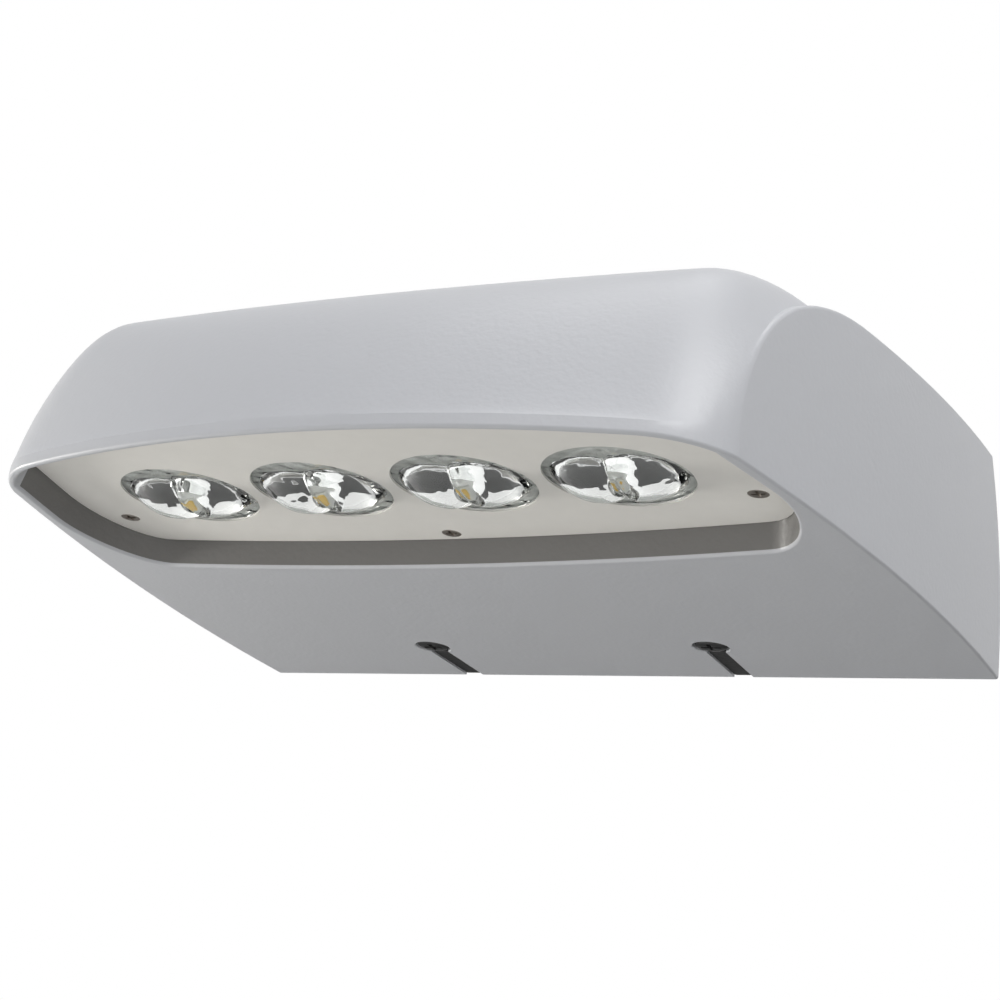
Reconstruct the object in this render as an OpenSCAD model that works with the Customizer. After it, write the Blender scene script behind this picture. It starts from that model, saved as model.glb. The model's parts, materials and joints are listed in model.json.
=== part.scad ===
// LED wall pack: a cast lamp that hangs on a steel wall plate and shines down from a bay in its base.
// Millimetres. X runs along the wall, +Y points into the wall, +Z points up.
// The origin is on the wall, at the centre of the wall plate's junction box holes.

/* [Housing] */
// Width of the housing along the wall, at its base
housing_w = 305.6; // [280:0.2:340]
// How far the front of the housing stands out from the wall
housing_reach = 242.2; // [225:0.2:260]
// Height of the housing at the wall
housing_h = 87.1; // [80:0.1:100]
// Radius of the bowed front edge, seen from above
front_r = 373; // [340:1:420]
// Radius of the two front corners, seen from above
corner_r = 36; // [28:1:44]
// Distance from the side, at the wall, in to the centre of a front corner
corner_x = 58.8; // [52.8:0.2:66.8]
// Radius of the bowed sides, seen from above
side_r = 833; // [700:1:1200]
// Radius of the bowed sides, seen from the front
side_barrel_r = 588; // [450:1:900]
// Wall thickness of the casting
wall = 3.5; // [2.5:0.1:5]
// Fall of the top towards the front, for each millimetre
top_fall = 0.097; // [0.06:0.001:0.12]

/* [Nose] */
// Upright foot of the front face, where it meets the side
side_foot = 5.4; // [3:0.1:9]
// Rise of the nose curve above that foot
side_rise = 35.2; // [28:0.1:40]
// Flatness of the nose curve where it runs into the top
side_flat = 53; // [40:0.5:60]
// Distance from the front of the housing to the end of the nose curve there
side_end = 110.2; // [104.2:0.5:116.2]
// Upright foot of the front face at the middle
middle_foot = 4; // [2:0.1:6]
// Rise of the nose curve at the middle
middle_rise = 6.7; // [4:0.1:12]
// Lean of that rise, towards the wall
middle_lean = 4; // [2:0.1:5]
// Flatness of the nose curve at the middle
middle_flat = 41.7; // [34:0.1:50]
// Distance from the front of the housing to the end of the nose curve there
middle_end = 58.9; // [52.2:0.1:64.2]
// How much the top swells at the middle
middle_swell = 0.9; // [0:0.1:3]
// Upright foot at the shoulders, before the front corner turns
shoulder_foot = 4.1; // [2:0.1:6]
// Rise of the nose curve at the shoulders
shoulder_rise = 6.1; // [4:0.1:12]
// Lean of that rise, towards the wall
shoulder_lean = 7.1; // [4:0.1:8]
// Flatness of the nose curve at the shoulders
shoulder_flat = 38.4; // [32:0.1:46]
// Distance from the front of the housing to the end of the nose curve there
shoulder_end = 68.5; // [62.2:0.1:74.2]
// How much the top swells over the shoulders
shoulder_swell = 3.9; // [0:0.1:6]

/* [LED bay] */
// Width of the lip in front of the bay
bay_lip = 3; // [2:0.1:5]
// Width of the cheek beside the bay
bay_cheek = 4.5; // [3.5:0.1:7]
// Distance from the front of the housing to the back edge of the bay
bay_back = 115.7; // [112.2:0.1:120.2]
// Radius of the bowed back edge of the bay
bay_back_r = 900; // [700:10:1500]
// Half the length of that back edge
bay_back_half = 112; // [104:0.5:114]
// Depth of the optic plate below the base
bay_depth = 9; // [8.5:0.1:12]
// How far the bay's wall leans in on its way up to the optic plate
bay_draft = 2.4; // [1.8:0.1:3]
// Thickness of the cast floor above the board
bay_floor = 4.8; // [3:0.1:7]
// Clearance round the optic plate
plate_gap = 0.4; // [0.2:0.1:1]

/* [Optics] */
// Thickness of the optic plate
plate_t = 1.6; // [1:0.1:2]
// Thickness of the bay gasket
gasket_t = 1; // [0.6:0.1:1.6]
// Number of lenses
lens_count = 4; // [2:1:4]
// Distance between neighbouring lenses
lens_pitch = 52.2; // [50:0.1:54]
// Distance from the front of the housing to the row of lenses
lens_back = 66.2; // [64.2:0.5:68.2]
// Diameter of the round openings in the optic plate
opening_d = 47; // [42:0.5:48]
// Diameter of the lens flange
flange_d = 49.6; // [49:0.1:50]
// Thickness of the lens flange
flange_t = 2; // [1.5:0.1:2.6]
// How far the lens stands back from the plate's face
lens_step = 0.6; // [0.2:0.1:1]
// Base radius of each of the two lobes of a lens
lobe_r = 15; // [12:0.1:16]
// Height of the lobes
lobe_h = 7.3; // [5:0.1:7.8]
// Distance of each lobe from the middle of the lens
lobe_x = 6.3; // [4:0.1:7]
// How far the diode sits behind the middle of the lens
led_shift = 3; // [0:0.1:5]
// Side of the square diode
led_side = 7; // [5:0.1:8]
// Thickness of the diode's base
led_base = 0.7; // [0.4:0.1:1]
// Thickness of the yellow phosphor on it
led_glow = 0.4; // [0.2:0.1:0.6]
// Radius of the hollow over the diode
led_hollow_r = 5.4; // [5.2:0.1:6]
// Thickness of the LED board
board_t = 1.6; // [1:0.1:2]
// Length of the LED board
board_w = 208; // [206:0.5:214]
// Depth of the LED board, front to back
board_d = 54; // [52:0.5:55]
// Thickness of the thermal pad
pad_t = 0.5; // [0.2:0.1:1]
// Margin of the pocket at the ends of the board
pocket_side = 4; // [2:0.5:5]
// Room for the leads behind the board
pocket_back = 9; // [8:0.5:9]

/* [Wall plate] */
// Width of the wall plate
bracket_w = 190; // [184:1:220]
// Height of the wall plate's flat back
bracket_h = 60; // [54:0.5:64]
// Thickness of the wall plate's steel
bracket_t = 2; // [1.5:0.1:3]
// Thickness of the foam behind it
foam_t = 1.5; // [1:0.1:3]
// Height of the junction box centre above the housing's base
box_z = 44; // [40:0.5:48]
// Width of the bottom flange
flange_w = 150; // [138:1:170]
// Distance between the four outer wall holes, along the wall
hole_pitch_x = 170; // [160:1:176]
// Distance between the four outer wall holes, up and down
hole_pitch_z = 28; // [22:1:32]
// Diameter of the outer wall holes
hole_d = 7; // [5:0.1:8]
// Distance between the two junction box holes
box_pitch = 88.9; // [82:0.1:92]
// Diameter of the junction box holes
box_hole_d = 4.8; // [4:0.1:5.5]
// Diameter of the wire way
wire_way_d = 28; // [20:0.5:32]

/* [Securing screws] */
// Distance of each securing screw from the middle
slot_x = 57.6; // [50:0.1:62]
// Distance of the securing screws from the wall
slot_back = 36.6; // [30:0.1:42]
// Width of the open slots in the base
slot_w = 7.6; // [6.8:0.1:9]
// Diameter of the round pocket at the end of each slot
pocket_d = 13.6; // [12.8:0.1:16]
// Depth of that pocket
pocket_h = 3; // [2.5:0.1:4]
// Thickness of the base round the slots
pad_h = 6; // [5.5:0.1:8]
// Diameter of the securing screws
screw_d = 6; // [5:0.1:6.4]
// Diameter of their heads
head_d = 12; // [10.5:0.1:12.4]

/* [Driver] */
// Length of the driver's case
driver_w = 120; // [100:1:140]
// Depth of the driver's case, front to back
driver_d = 50; // [40:1:54]
// Height of the driver's case
driver_h = 28; // [22:0.5:32]
// Wall of the driver's case
driver_wall = 1.2; // [0.8:0.1:2]
// Distance from the wall to the middle of the driver
driver_back = 87; // [80:0.5:90]
// Distance from the top of the housing, at the wall, down to the driver
driver_top = 19.1; // [18.1:0.5:23.1]
// Radius of the leads
lead_r = 0.75; // [0.5:0.05:0.9]

/* [Hidden] */
$fn = 96;

// Heights of the stack in the bay, from the base upwards
plate_z = bay_depth;
flange_z = plate_z + plate_t;
board_z = flange_z + flange_t;
pad_z = board_z + board_t;
pocket_z = pad_z + pad_t;
ledge_z = flange_z + gasket_t;
floor_z = pocket_z + bay_floor;

// Steps used for curves that are worked out point by point
arc_steps = 10;
nose_steps = 14;
station_count = 15;
side_steps = 7;
side_arc_steps = 15;
past_edge = 0.4;
cut = 1;
seat_gap = 0.3;
margin = 8;

// Places that follow the side, the front and the top of the housing
half_w = housing_w / 2;
corner_at = half_w - corner_x;
corner_y = front_r - housing_reach - sqrt(pow(front_r - corner_r, 2) - pow(corner_at, 2));
lens_row = housing_reach - lens_back;
bay_rear = housing_reach - bay_back;
driver_top_z = housing_h - driver_top;
driver_low_z = driver_top_z - driver_h;

// Bowed side: half the width at a distance y from the wall, at the base
function side_x(y) = half_w - y * y / (2 * side_r);

// Front edge seen from above, drawn in by an inset
function corner_start(inset) = corner_at * (front_r - inset) / (front_r - corner_r);
function front_arc_y(x, inset) = front_r - housing_reach - sqrt(pow(front_r - inset, 2) - x * x);
function front_corner_y(x, inset) =
    corner_y - sqrt(max(pow(corner_r - inset, 2) - pow(x - corner_at, 2), 0.01));
function front_y(x) = x < corner_start(0) ? front_arc_y(x, 0) : front_corner_y(x, 0);

function mix(a, b, t) = a + (b - a) * t;
function unit(v) = v / norm(v);

// The crease is where the front corner meets the bowed side
function meet(x, turns) = turns == 0 ? x : meet(side_x(front_corner_y(x, 0)), turns - 1);
crease_x = meet(corner_at + 0.9 * corner_r, 40);

// How far the front corner has turned: 0 along the front edge and 1 at the crease
crease_turn = front_y(crease_x) - front_arc_y(crease_x, 0);
function turned(x) = (front_y(x) - front_arc_y(x, 0)) / crease_turn;

// Size that changes from the middle to the shoulders, and from there round the corner to the side
function between(middle, shoulder, side, out, turn) =
    mix(middle, shoulder, out) + (side - shoulder) * turn;

// Point on a curve of four points
function bend(p, t) = pow(1 - t, 3) * p[0] + 3 * pow(1 - t, 2) * t * p[1]
    + 3 * (1 - t) * t * t * p[2] + pow(t, 3) * p[3];

// One section through the nose and top, as [y, z] points, at a distance from the middle
function section(distance, inset, back) =
    let (x = min(distance, crease_x),
         out = pow(x / crease_x, 2),
         turn = turned(x),
         foot = between(middle_foot, shoulder_foot, side_foot, out, turn),
         rise = between(middle_rise, shoulder_rise, side_rise, out, turn) - inset,
         lean = between(middle_lean, shoulder_lean, 0, out, turn),
         flat = between(middle_flat, shoulder_flat, side_flat, out, turn),
         end_y = inset - housing_reach + between(middle_end, shoulder_end, side_end, out, turn),
         swell = between(middle_swell, shoulder_swell, 0, out, turn),
         front = front_y(x) + inset,
         end = [end_y, housing_h - inset + swell + top_fall * end_y],
         wall_point = [back, housing_h - inset + top_fall * back],
         along = unit(wall_point - end),
         curve = [[front, foot], [front + lean, foot + rise], end - flat * along, end])
    concat([[front, 0]], [for (i = [0 : nose_steps]) bend(curve, i / nose_steps)],
           [wall_point, [back, 0]]);

// Places of the sections: close together towards the corners, then one beyond the widest side
stations = [for (i = [0 : station_count]) crease_x * (1 - pow(1 - i / station_count, 1.5))];
half_stations = concat([for (x = stations) x < crease_x ? x : x + past_edge], [half_w + margin / 2]);
last = len(half_stations) - 1;
all_stations = concat([for (i = [last : -1 : 1]) -half_stations[i]], half_stations);

// Lofted body through all the sections
module nose_body(inset, back) {
    skin_rings([for (x = all_stations) [for (p = section(abs(x), inset, back)) [x, p[0], p[1]]]]);
}

// Closed body from its rings of points, each ring clockwise seen from the end of the last one
module skin_rings(rings) {
    n = len(rings[0]);
    m = len(rings);
    skin = [for (i = [0 : m - 2], j = [0 : n - 1])
        let (a = i * n + j, b = i * n + (j + 1) % n, c = a + n, d = b + n)
        each [[a, b, c], [b, d, c]]];
    polyhedron(points = [for (ring = rings) each ring],
               faces = concat([[for (j = [n - 1 : -1 : 0]) j]], skin,
                              [[for (j = [0 : n - 1]) (m - 1) * n + j]]));
}

// Everything to the left of the right side, which is bowed both ways
module right_side(inset) {
    front = -housing_reach - margin;
    top = housing_h + 2 * margin;
    low = -2 * cut;
    skin_rings([for (i = [0 : side_steps])
        let (z = mix(low, top, i / side_steps))
        concat([[-half_w - margin, front, z], [-half_w - margin, margin, z]],
               [for (j = [0 : side_arc_steps])
                   let (y = mix(margin, front, j / side_arc_steps))
                   [side_x(y) - inset - z * z / (2 * side_barrel_r), y, z]])]);
}

// Loft with its sides cut to the two bows
module bowed_body(inset, back) {
    intersection() {
        nose_body(inset, back);
        right_side(inset);
        mirror([1, 0, 0])
            right_side(inset);
    }
}

// Outline of the LED bay, seen from above; grow widens it all round.
// Its cheeks run straight between two places, and the rear corners are curves pulled by two offsets.
cheek_from = 37.2 - housing_reach;
cheek_to = 62.2 - housing_reach;
cheek_steps = 4;
front_corner_stop = -32;
cheek_pull = [3.7, 20];
back_pull = [13, -1];
function bay_half(grow) =
    let (inset = bay_lip - grow,
         start = corner_start(inset),
         first = atan2(front_arc_y(start, inset) - corner_y, start - corner_at),
         back_y = grow - bay_rear,
         back_end = [bay_back_half, back_y - pow(bay_back_half, 2) / (2 * bay_back_r)],
         cheek_end = [side_x(cheek_to) - bay_cheek + grow, cheek_to],
         curve = [cheek_end, cheek_end + cheek_pull, back_end + back_pull, back_end])
    concat([for (i = [0 : arc_steps]) let (x = start * i / arc_steps) [x, front_arc_y(x, inset)]],
           [for (i = [1 : arc_steps - 2])
               let (a = mix(first, front_corner_stop, i / (arc_steps - 2)))
               [corner_at + (corner_r - inset) * cos(a), corner_y + (corner_r - inset) * sin(a)]],
           [for (i = [0 : cheek_steps])
               let (y = mix(cheek_from, cheek_to, i / cheek_steps)) [side_x(y) - bay_cheek + grow, y]],
           [for (i = [1 : arc_steps]) bend(curve, i / arc_steps)],
           [for (i = [1 : arc_steps])
               let (x = bay_back_half * (1 - i / arc_steps)) [x, back_y - x * x / (2 * bay_back_r)]]);

function bay_ring(grow) =
    let (half = bay_half(grow), n = len(half))
    concat([for (i = [n - 1 : -1 : 0]) half[i]], [for (i = [1 : n - 2]) [-half[i][0], half[i][1]]]);

module bay_outline(grow) {
    polygon(bay_ring(grow));
}

// Hollow of the bay: its wall leans in up to the optic plate, then stands upright to the ledge
module bay_hollow() {
    skin_rings([for (level = [[-cut, 0], [0, 0], [plate_z, -bay_draft], [ledge_z, -bay_draft]])
        [for (p = bay_ring(level[1])) [p[0], p[1], level[0]]]]);
}

// Flat rectangle with round corners
module rounded_square(size, r) {
    translate([-size[0] / 2 + r, -size[1] / 2])
        square([size[0] - 2 * r, size[1]]);
    translate([-size[0] / 2, -size[1] / 2 + r])
        square([size[0], size[1] - 2 * r]);
    for (sx = [-1, 1], sy = [-1, 1])
        translate([sx * (size[0] / 2 - r), sy * (size[1] / 2 - r)])
            circle(r);
}

// Everything is drawn from the housing's base upwards and then lowered, so the origin is at the box
module from_base() {
    translate([0, 0, -box_z])
        children();
}

module mirrored_x() {
    children();
    mirror([1, 0, 0])
        children();
}

// Screw that points up, with a cone or a cylinder for its head and a cross recess in it
module screw(d, length, head_r, head_h, flush, recess) {
    difference() {
        union() {
            cylinder(r = d / 2, h = length);
            if (flush)
                cylinder(r1 = head_r, r2 = d / 2, h = head_h);
            else
                cylinder(r = head_r, h = head_h);
        }
        for (turn = [0, 90])
            rotate(turn)
                translate([-recess / 2, -recess / 10, -cut])
                    cube([recess, recess / 5, cut + 0.6 * head_h]);
    }
}

// Places along the row of lenses, and between them for the board screws
lens_xs = [for (i = [0 : lens_count - 1]) (i - (lens_count - 1) / 2) * lens_pitch];
screw_xs = [for (i = [1 : lens_count - 1]) (i - lens_count / 2) * lens_pitch];
board_screw_y = 22;
board_screw_d = 3;
board_screw_head = 2.7;
board_front_margin = 29;
board_front = lens_row + board_front_margin;
board_back = board_front - board_d;
pocket_w = board_w + 2 * pocket_side;
pocket_front_room = 3;
pocket_front = board_front + pocket_front_room;
pocket_rear = board_back - pocket_back;
corner_pad_r = 4;

// Screws that hold the optic plate: one beside each end of the board's pocket, at a share of the
// way from there to the edge of the plate, and one inside the back edge of the bay
rim_share = 0.366;
end_screw_y = 17.2 - lens_row;
end_screw_x = mix(pocket_w / 2, side_x(end_screw_y) - bay_cheek - bay_draft - plate_gap, rim_share);
rear_screw_y = -bay_rear - 7.9;
plate_screws = [[-end_screw_x, end_screw_y], [end_screw_x, end_screw_y], [0, rear_screw_y]];
plate_screw_d = 3.5;
plate_screw_head = 3.4;
plate_screw_l = 10;

// Lead hole through the cast floor, behind the end of the board
lead_hole = [98.5, -(pocket_rear + board_back) / 2];
grommet_r = 3.2;
grommet_bore = 2.3;
grommet_flange = 1.2;
connector = [8, 4.6, 1.5];
connector_at = [lead_hole[0], -board_back - 1.4 - connector[1] / 2];

// Inside of the housing
rib_xs = [-80, -40, 40, 80];
rib_t = 3;
lug_x = 45;
lug_w = 12;
hook_out = 14;
hook_up = 5;
driver_ear = 9;
driver_screw_x = driver_w / 2 + 5;
driver_screw_d = 4;
boss_r = 5;
block = [22, 16, 12];
block_at = [52.8 - half_w, -75];
block_boss_h = 5;
ground_at = [40.8 - half_w, -40];
ground_boss_h = 6;
slot_pad_w = 26;
slot_pad_front = 12;
slot_pad_d = slot_back + slot_pad_front;
plate_bottom = pad_h;
plate_top = plate_bottom + bracket_h;
bracket_back = foam_t + bracket_t;
lug_front = -hook_out + 2 * bracket_t + seat_gap;

// Solid parts of the housing's inside, taken out of its hollow
module inner_solids() {
    translate([0, 0, -cut])
        linear_extrude(floor_z + cut)
            bay_outline(wall);
    for (x = rib_xs)
        translate([x - rib_t / 2, -housing_reach, 0])
            cube([rib_t, bay_back - wall, 2 * housing_h]);
    mirrored_x() {
        translate([slot_x - slot_pad_w / 2, -slot_pad_d, 0])
            cube([slot_pad_w, slot_pad_d + cut, pad_h]);
        translate([lug_x - lug_w / 2, lug_front, plate_top + seat_gap])
            cube([lug_w, -bracket_back - 1.5 - lug_front, 2 * housing_h]);
        translate([driver_screw_x, -driver_back, driver_top_z])
            cylinder(r = boss_r, h = 2 * housing_h);
    }
    translate([block_at[0], block_at[1], 0])
        cylinder(r = boss_r, h = wall + block_boss_h);
    translate([ground_at[0], ground_at[1], 0])
        cylinder(r = boss_r, h = wall + ground_boss_h);
}

module housing() {
    color([0.76, 0.77, 0.79])
    from_base()
    difference() {
        bowed_body(0, 0);
        // Hollow for the driver and the wiring, open at the wall
        difference() {
            bowed_body(wall, cut);
            translate([-housing_w, -2 * housing_reach, -cut])
                cube([2 * housing_w, 4 * housing_reach, wall + cut]);
            inner_solids();
        }
        // Bay, the ledge that the plate closes on, and the pocket for the board
        bay_hollow();
        translate([0, -(pocket_front + pocket_rear) / 2, ledge_z - cut])
            linear_extrude(pocket_z - ledge_z + cut)
                rounded_square([pocket_w, pocket_front - pocket_rear], corner_pad_r);
        // Holes in the cast floor
        for (p = plate_screws)
            translate([p[0], p[1], 0])
                cylinder(r = plate_screw_d / 2, h = plate_z + plate_screw_l + 0.5);
        for (x = screw_xs, s = [-1, 1])
            translate([x, -lens_row + s * board_screw_y, 0])
                cylinder(r = board_screw_d / 2, h = floor_z - 1);
        translate([lead_hole[0], lead_hole[1], 0])
            cylinder(r = grommet_r, h = floor_z + cut);
        // Holes in the bosses
        for (s = [-1, 1])
            translate([s * driver_screw_x, -driver_back, driver_top_z - cut])
                cylinder(r = driver_screw_d / 2, h = cut + 7);
        translate([block_at[0], block_at[1], wall])
            cylinder(r = 1.5, h = block_boss_h + cut);
        translate([ground_at[0], ground_at[1], wall])
            cylinder(r = 2, h = ground_boss_h + cut);
        // Open slots and pockets for the securing screws
        mirrored_x() {
            translate([slot_x - slot_w / 2, -slot_back, -cut])
                cube([slot_w, slot_back + cut, pad_h + 2 * cut]);
            translate([slot_x, -slot_back, -cut]) {
                cylinder(r = slot_w / 2, h = pad_h + 2 * cut);
                cylinder(r = pocket_d / 2, h = pocket_h + cut);
            }
        }
    }
}

// Side view of the bent steel plate, as a chain of straight runs and quarter bends
module bracket_profile() {
    r = bracket_t;
    back = -foam_t;
    // Bottom flange, flat back, top flange and hook
    translate([back - slot_pad_d, plate_bottom])
        square([slot_pad_d - 2 * r, bracket_t]);
    translate([back - bracket_t, plate_bottom + 2 * r])
        square([bracket_t, bracket_h - 4 * r]);
    translate([-hook_out + 2 * r, plate_top - bracket_t])
        square([hook_out - 4 * r - foam_t, bracket_t]);
    translate([-hook_out, plate_top + r])
        square([bracket_t, hook_up]);
    bend_corner([back - 2 * r, plate_bottom + 2 * r], [0, -1]);
    bend_corner([back - 2 * r, plate_top - 2 * r], [0, 0]);
    bend_corner([-hook_out + 2 * r, plate_top + r], [-1, -1]);
}

// Quarter of a ring round a bend's centre
module bend_corner(at, side) {
    r = bracket_t;
    translate(at)
        intersection() {
            difference() {
                circle(2 * r);
                circle(r);
            }
            translate(2 * r * side)
                square(2 * r);
        }
}

module wall_holes(h) {
    for (sx = [-1, 1], sz = [-1, 1])
        translate([sx * hole_pitch_x / 2, cut, box_z + sz * hole_pitch_z / 2])
            rotate([90, 0, 0])
                cylinder(r = hole_d / 2, h = h);
    for (sx = [-1, 1])
        translate([sx * box_pitch / 2, cut, box_z])
            rotate([90, 0, 0])
                cylinder(r = box_hole_d / 2, h = h);
}

module wall_plate() {
    color([0.09, 0.09, 0.1])
    from_base()
    difference() {
        intersection() {
            rotate([90, 0, 90])
                translate([0, 0, -bracket_w / 2])
                    linear_extrude(bracket_w)
                        bracket_profile();
            union() {
                // The back is full width, and both flanges are narrower
                translate([-bracket_w / 2, -bracket_back, plate_bottom + 3 * bracket_t])
                    cube([bracket_w, bracket_back, bracket_h - 6 * bracket_t]);
                translate([-flange_w / 2, -2 * slot_pad_d, 0])
                    cube([flange_w, 2 * slot_pad_d, housing_h]);
            }
        }
        wall_holes(2 * bracket_back);
        translate([0, cut, box_z])
            rotate([90, 0, 0])
                cylinder(r = wire_way_d / 2, h = 2 * bracket_back);
        for (s = [-1, 1])
            translate([s * slot_x, -slot_back, 0])
                cylinder(r = screw_d / 2 + seat_gap, h = plate_bottom + 2 * bracket_t);
    }
}

module wall_gasket() {
    color([0.2, 0.2, 0.21])
    from_base()
    difference() {
        translate([0, 0, box_z])
            rotate([90, 0, 0])
                linear_extrude(foam_t)
                    rounded_square([bracket_w - 4, bracket_h - 16], 6);
        wall_holes(2 * foam_t + cut);
        translate([0, cut, box_z])
            rotate([90, 0, 0])
                cylinder(r = wire_way_d / 2, h = 2 * foam_t + cut);
    }
}

// Bushing that keeps the supply wires off the edge of the wire way
module wire_bushing() {
    color([0.85, 0.85, 0.84])
    from_base()
    translate([0, -foam_t, box_z])
        rotate([90, 0, 0])
            difference() {
                union() {
                    cylinder(r = wire_way_d / 2 - 0.1, h = bracket_t);
                    translate([0, 0, bracket_t])
                        cylinder(r = wire_way_d / 2 + 3, h = 1.5);
                }
                translate([0, 0, -cut])
                    cylinder(r = wire_way_d / 2 - 2, h = bracket_t + 1.5 + 2 * cut);
            }
}

nut_h = 5;

module flange_nuts() {
    color([0.72, 0.73, 0.75])
    from_base()
    for (s = [-1, 1])
        translate([s * slot_x, -slot_back, plate_bottom + bracket_t])
            difference() {
                cylinder(r = 0.96 * screw_d, h = nut_h, $fn = 6);
                translate([0, 0, -cut])
                    cylinder(r = screw_d / 2 + 0.05, h = nut_h + 2 * cut);
            }
}

module securing_screws() {
    color([0.1, 0.1, 0.1])
    from_base()
    for (s = [-1, 1])
        translate([s * slot_x, -slot_back, 0])
            screw(screw_d, plate_bottom + bracket_t + nut_h + 2, head_d / 2, pocket_h, false, 6);
}

module optic_plate() {
    color([0.93, 0.92, 0.89])
    from_base()
    difference() {
        translate([0, 0, plate_z])
            linear_extrude(plate_t)
                bay_outline(-bay_draft - plate_gap);
        for (x = lens_xs)
            translate([x, -lens_row, plate_z - cut])
                cylinder(r = opening_d / 2, h = plate_t + 2 * cut);
        for (p = plate_screws)
            translate([p[0], p[1], plate_z]) {
                translate([0, 0, -cut])
                    cylinder(r = plate_screw_d / 2 + 0.2, h = plate_t + 2 * cut);
                cylinder(r1 = plate_screw_head + 0.05, r2 = plate_screw_d / 2 + 0.1, h = 1.5);
            }
    }
}

module optic_plate_screws() {
    color([0.55, 0.54, 0.52])
    from_base()
    for (p = plate_screws)
        translate([p[0], p[1], plate_z])
            screw(plate_screw_d - 0.1, plate_screw_l, plate_screw_head, 1.5, true, 3.6);
}

module bay_gasket() {
    color([0.3, 0.3, 0.3])
    from_base()
    difference() {
        translate([0, 0, flange_z])
            linear_extrude(gasket_t)
                bay_outline(-bay_draft - plate_gap);
        translate([0, -(pocket_front + pocket_rear) / 2, flange_z - cut])
            linear_extrude(gasket_t + 2 * cut)
                rounded_square([pocket_w, pocket_front - pocket_rear], corner_pad_r);
        for (p = plate_screws)
            translate([p[0], p[1], flange_z - cut])
                cylinder(r = plate_screw_d / 2 + 0.2, h = gasket_t + 2 * cut);
    }
}

// Clear lens: a flange, a body that fills the opening, and two round lobes side by side
module lens(x) {
    ball_r = (lobe_r * lobe_r + lobe_h * lobe_h) / (2 * lobe_h);
    lobe_base = plate_z + lens_step;
    color([0.85, 0.9, 0.88, 0.6])
    from_base()
    translate([x, -lens_row, 0])
        difference() {
            union() {
                translate([0, 0, flange_z])
                    cylinder(r = flange_d / 2, h = flange_t);
                translate([0, 0, lobe_base])
                    cylinder(r = opening_d / 2 - 0.2, h = flange_z - lobe_base);
                intersection() {
                    for (s = [-1, 1])
                        translate([s * lobe_x, 0, lobe_base + ball_r - lobe_h])
                            sphere(ball_r);
                    cylinder(r = opening_d / 2 - 0.2, h = flange_z);
                }
            }
            translate([0, led_shift, 0]) {
                translate([0, 0, flange_z])
                    cylinder(r = led_hollow_r, h = flange_t + cut);
                translate([0, 0, flange_z])
                    sphere(led_hollow_r);
            }
        }
}

// Diode: a square ceramic base with the phosphor on its lower face
module led(x) {
    color([0.95, 0.8, 0.25])
    from_base()
    translate([x, -lens_row + led_shift, board_z]) {
        translate([-led_side / 2, -led_side / 2, -led_base])
            cube([led_side, led_side, led_base]);
        translate([0, 0, -led_base - led_glow])
            linear_extrude(led_glow)
                rounded_square([0.8 * led_side, 0.8 * led_side], 0.8);
    }
}

module board_shape(margin, h) {
    translate([0, -(board_front + board_back) / 2, 0])
        linear_extrude(h)
            rounded_square([board_w - 2 * margin, board_d - 2 * margin], 3);
}

module board_holes(r, h) {
    for (x = screw_xs, s = [-1, 1])
        translate([x, -lens_row + s * board_screw_y, -cut])
            cylinder(r = r, h = h + 2 * cut);
}

module led_board() {
    color([0.9, 0.9, 0.88])
    from_base()
    translate([0, 0, board_z])
        difference() {
            board_shape(0, board_t);
            board_holes(board_screw_d / 2 + 0.1, board_t);
        }
}

module thermal_pad() {
    color([0.45, 0.5, 0.6])
    from_base()
    translate([0, 0, pad_z])
        difference() {
            board_shape(1, pad_t);
            board_holes(board_screw_d / 2 + 0.3, pad_t);
        }
}

module board_screws() {
    head_h = 1.6;
    color([0.7, 0.7, 0.72])
    from_base()
    for (x = screw_xs, s = [-1, 1])
        translate([x, -lens_row + s * board_screw_y, board_z - head_h])
            screw(board_screw_d - 0.1, head_h + board_t + pad_t + 3, board_screw_head, head_h, false, 3);
}

module board_connector() {
    color([0.95, 0.95, 0.92])
    from_base()
    translate([connector_at[0], connector_at[1], board_z - connector[2]])
        linear_extrude(connector[2])
            rounded_square([connector[0], connector[1]], 0.5);
}

// Rubber grommet in the lead hole, with a flange on the dry side of the floor
module lead_grommet() {
    color([0.12, 0.12, 0.12])
    from_base()
    translate([lead_hole[0], lead_hole[1], pocket_z])
        difference() {
            union() {
                cylinder(r = grommet_r - 0.05, h = floor_z - pocket_z);
                translate([0, 0, floor_z - pocket_z])
                    cylinder(r = grommet_r + 1.5, h = grommet_flange);
            }
            translate([0, 0, -cut])
                cylinder(r = grommet_bore, h = floor_z);
        }
}

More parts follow.
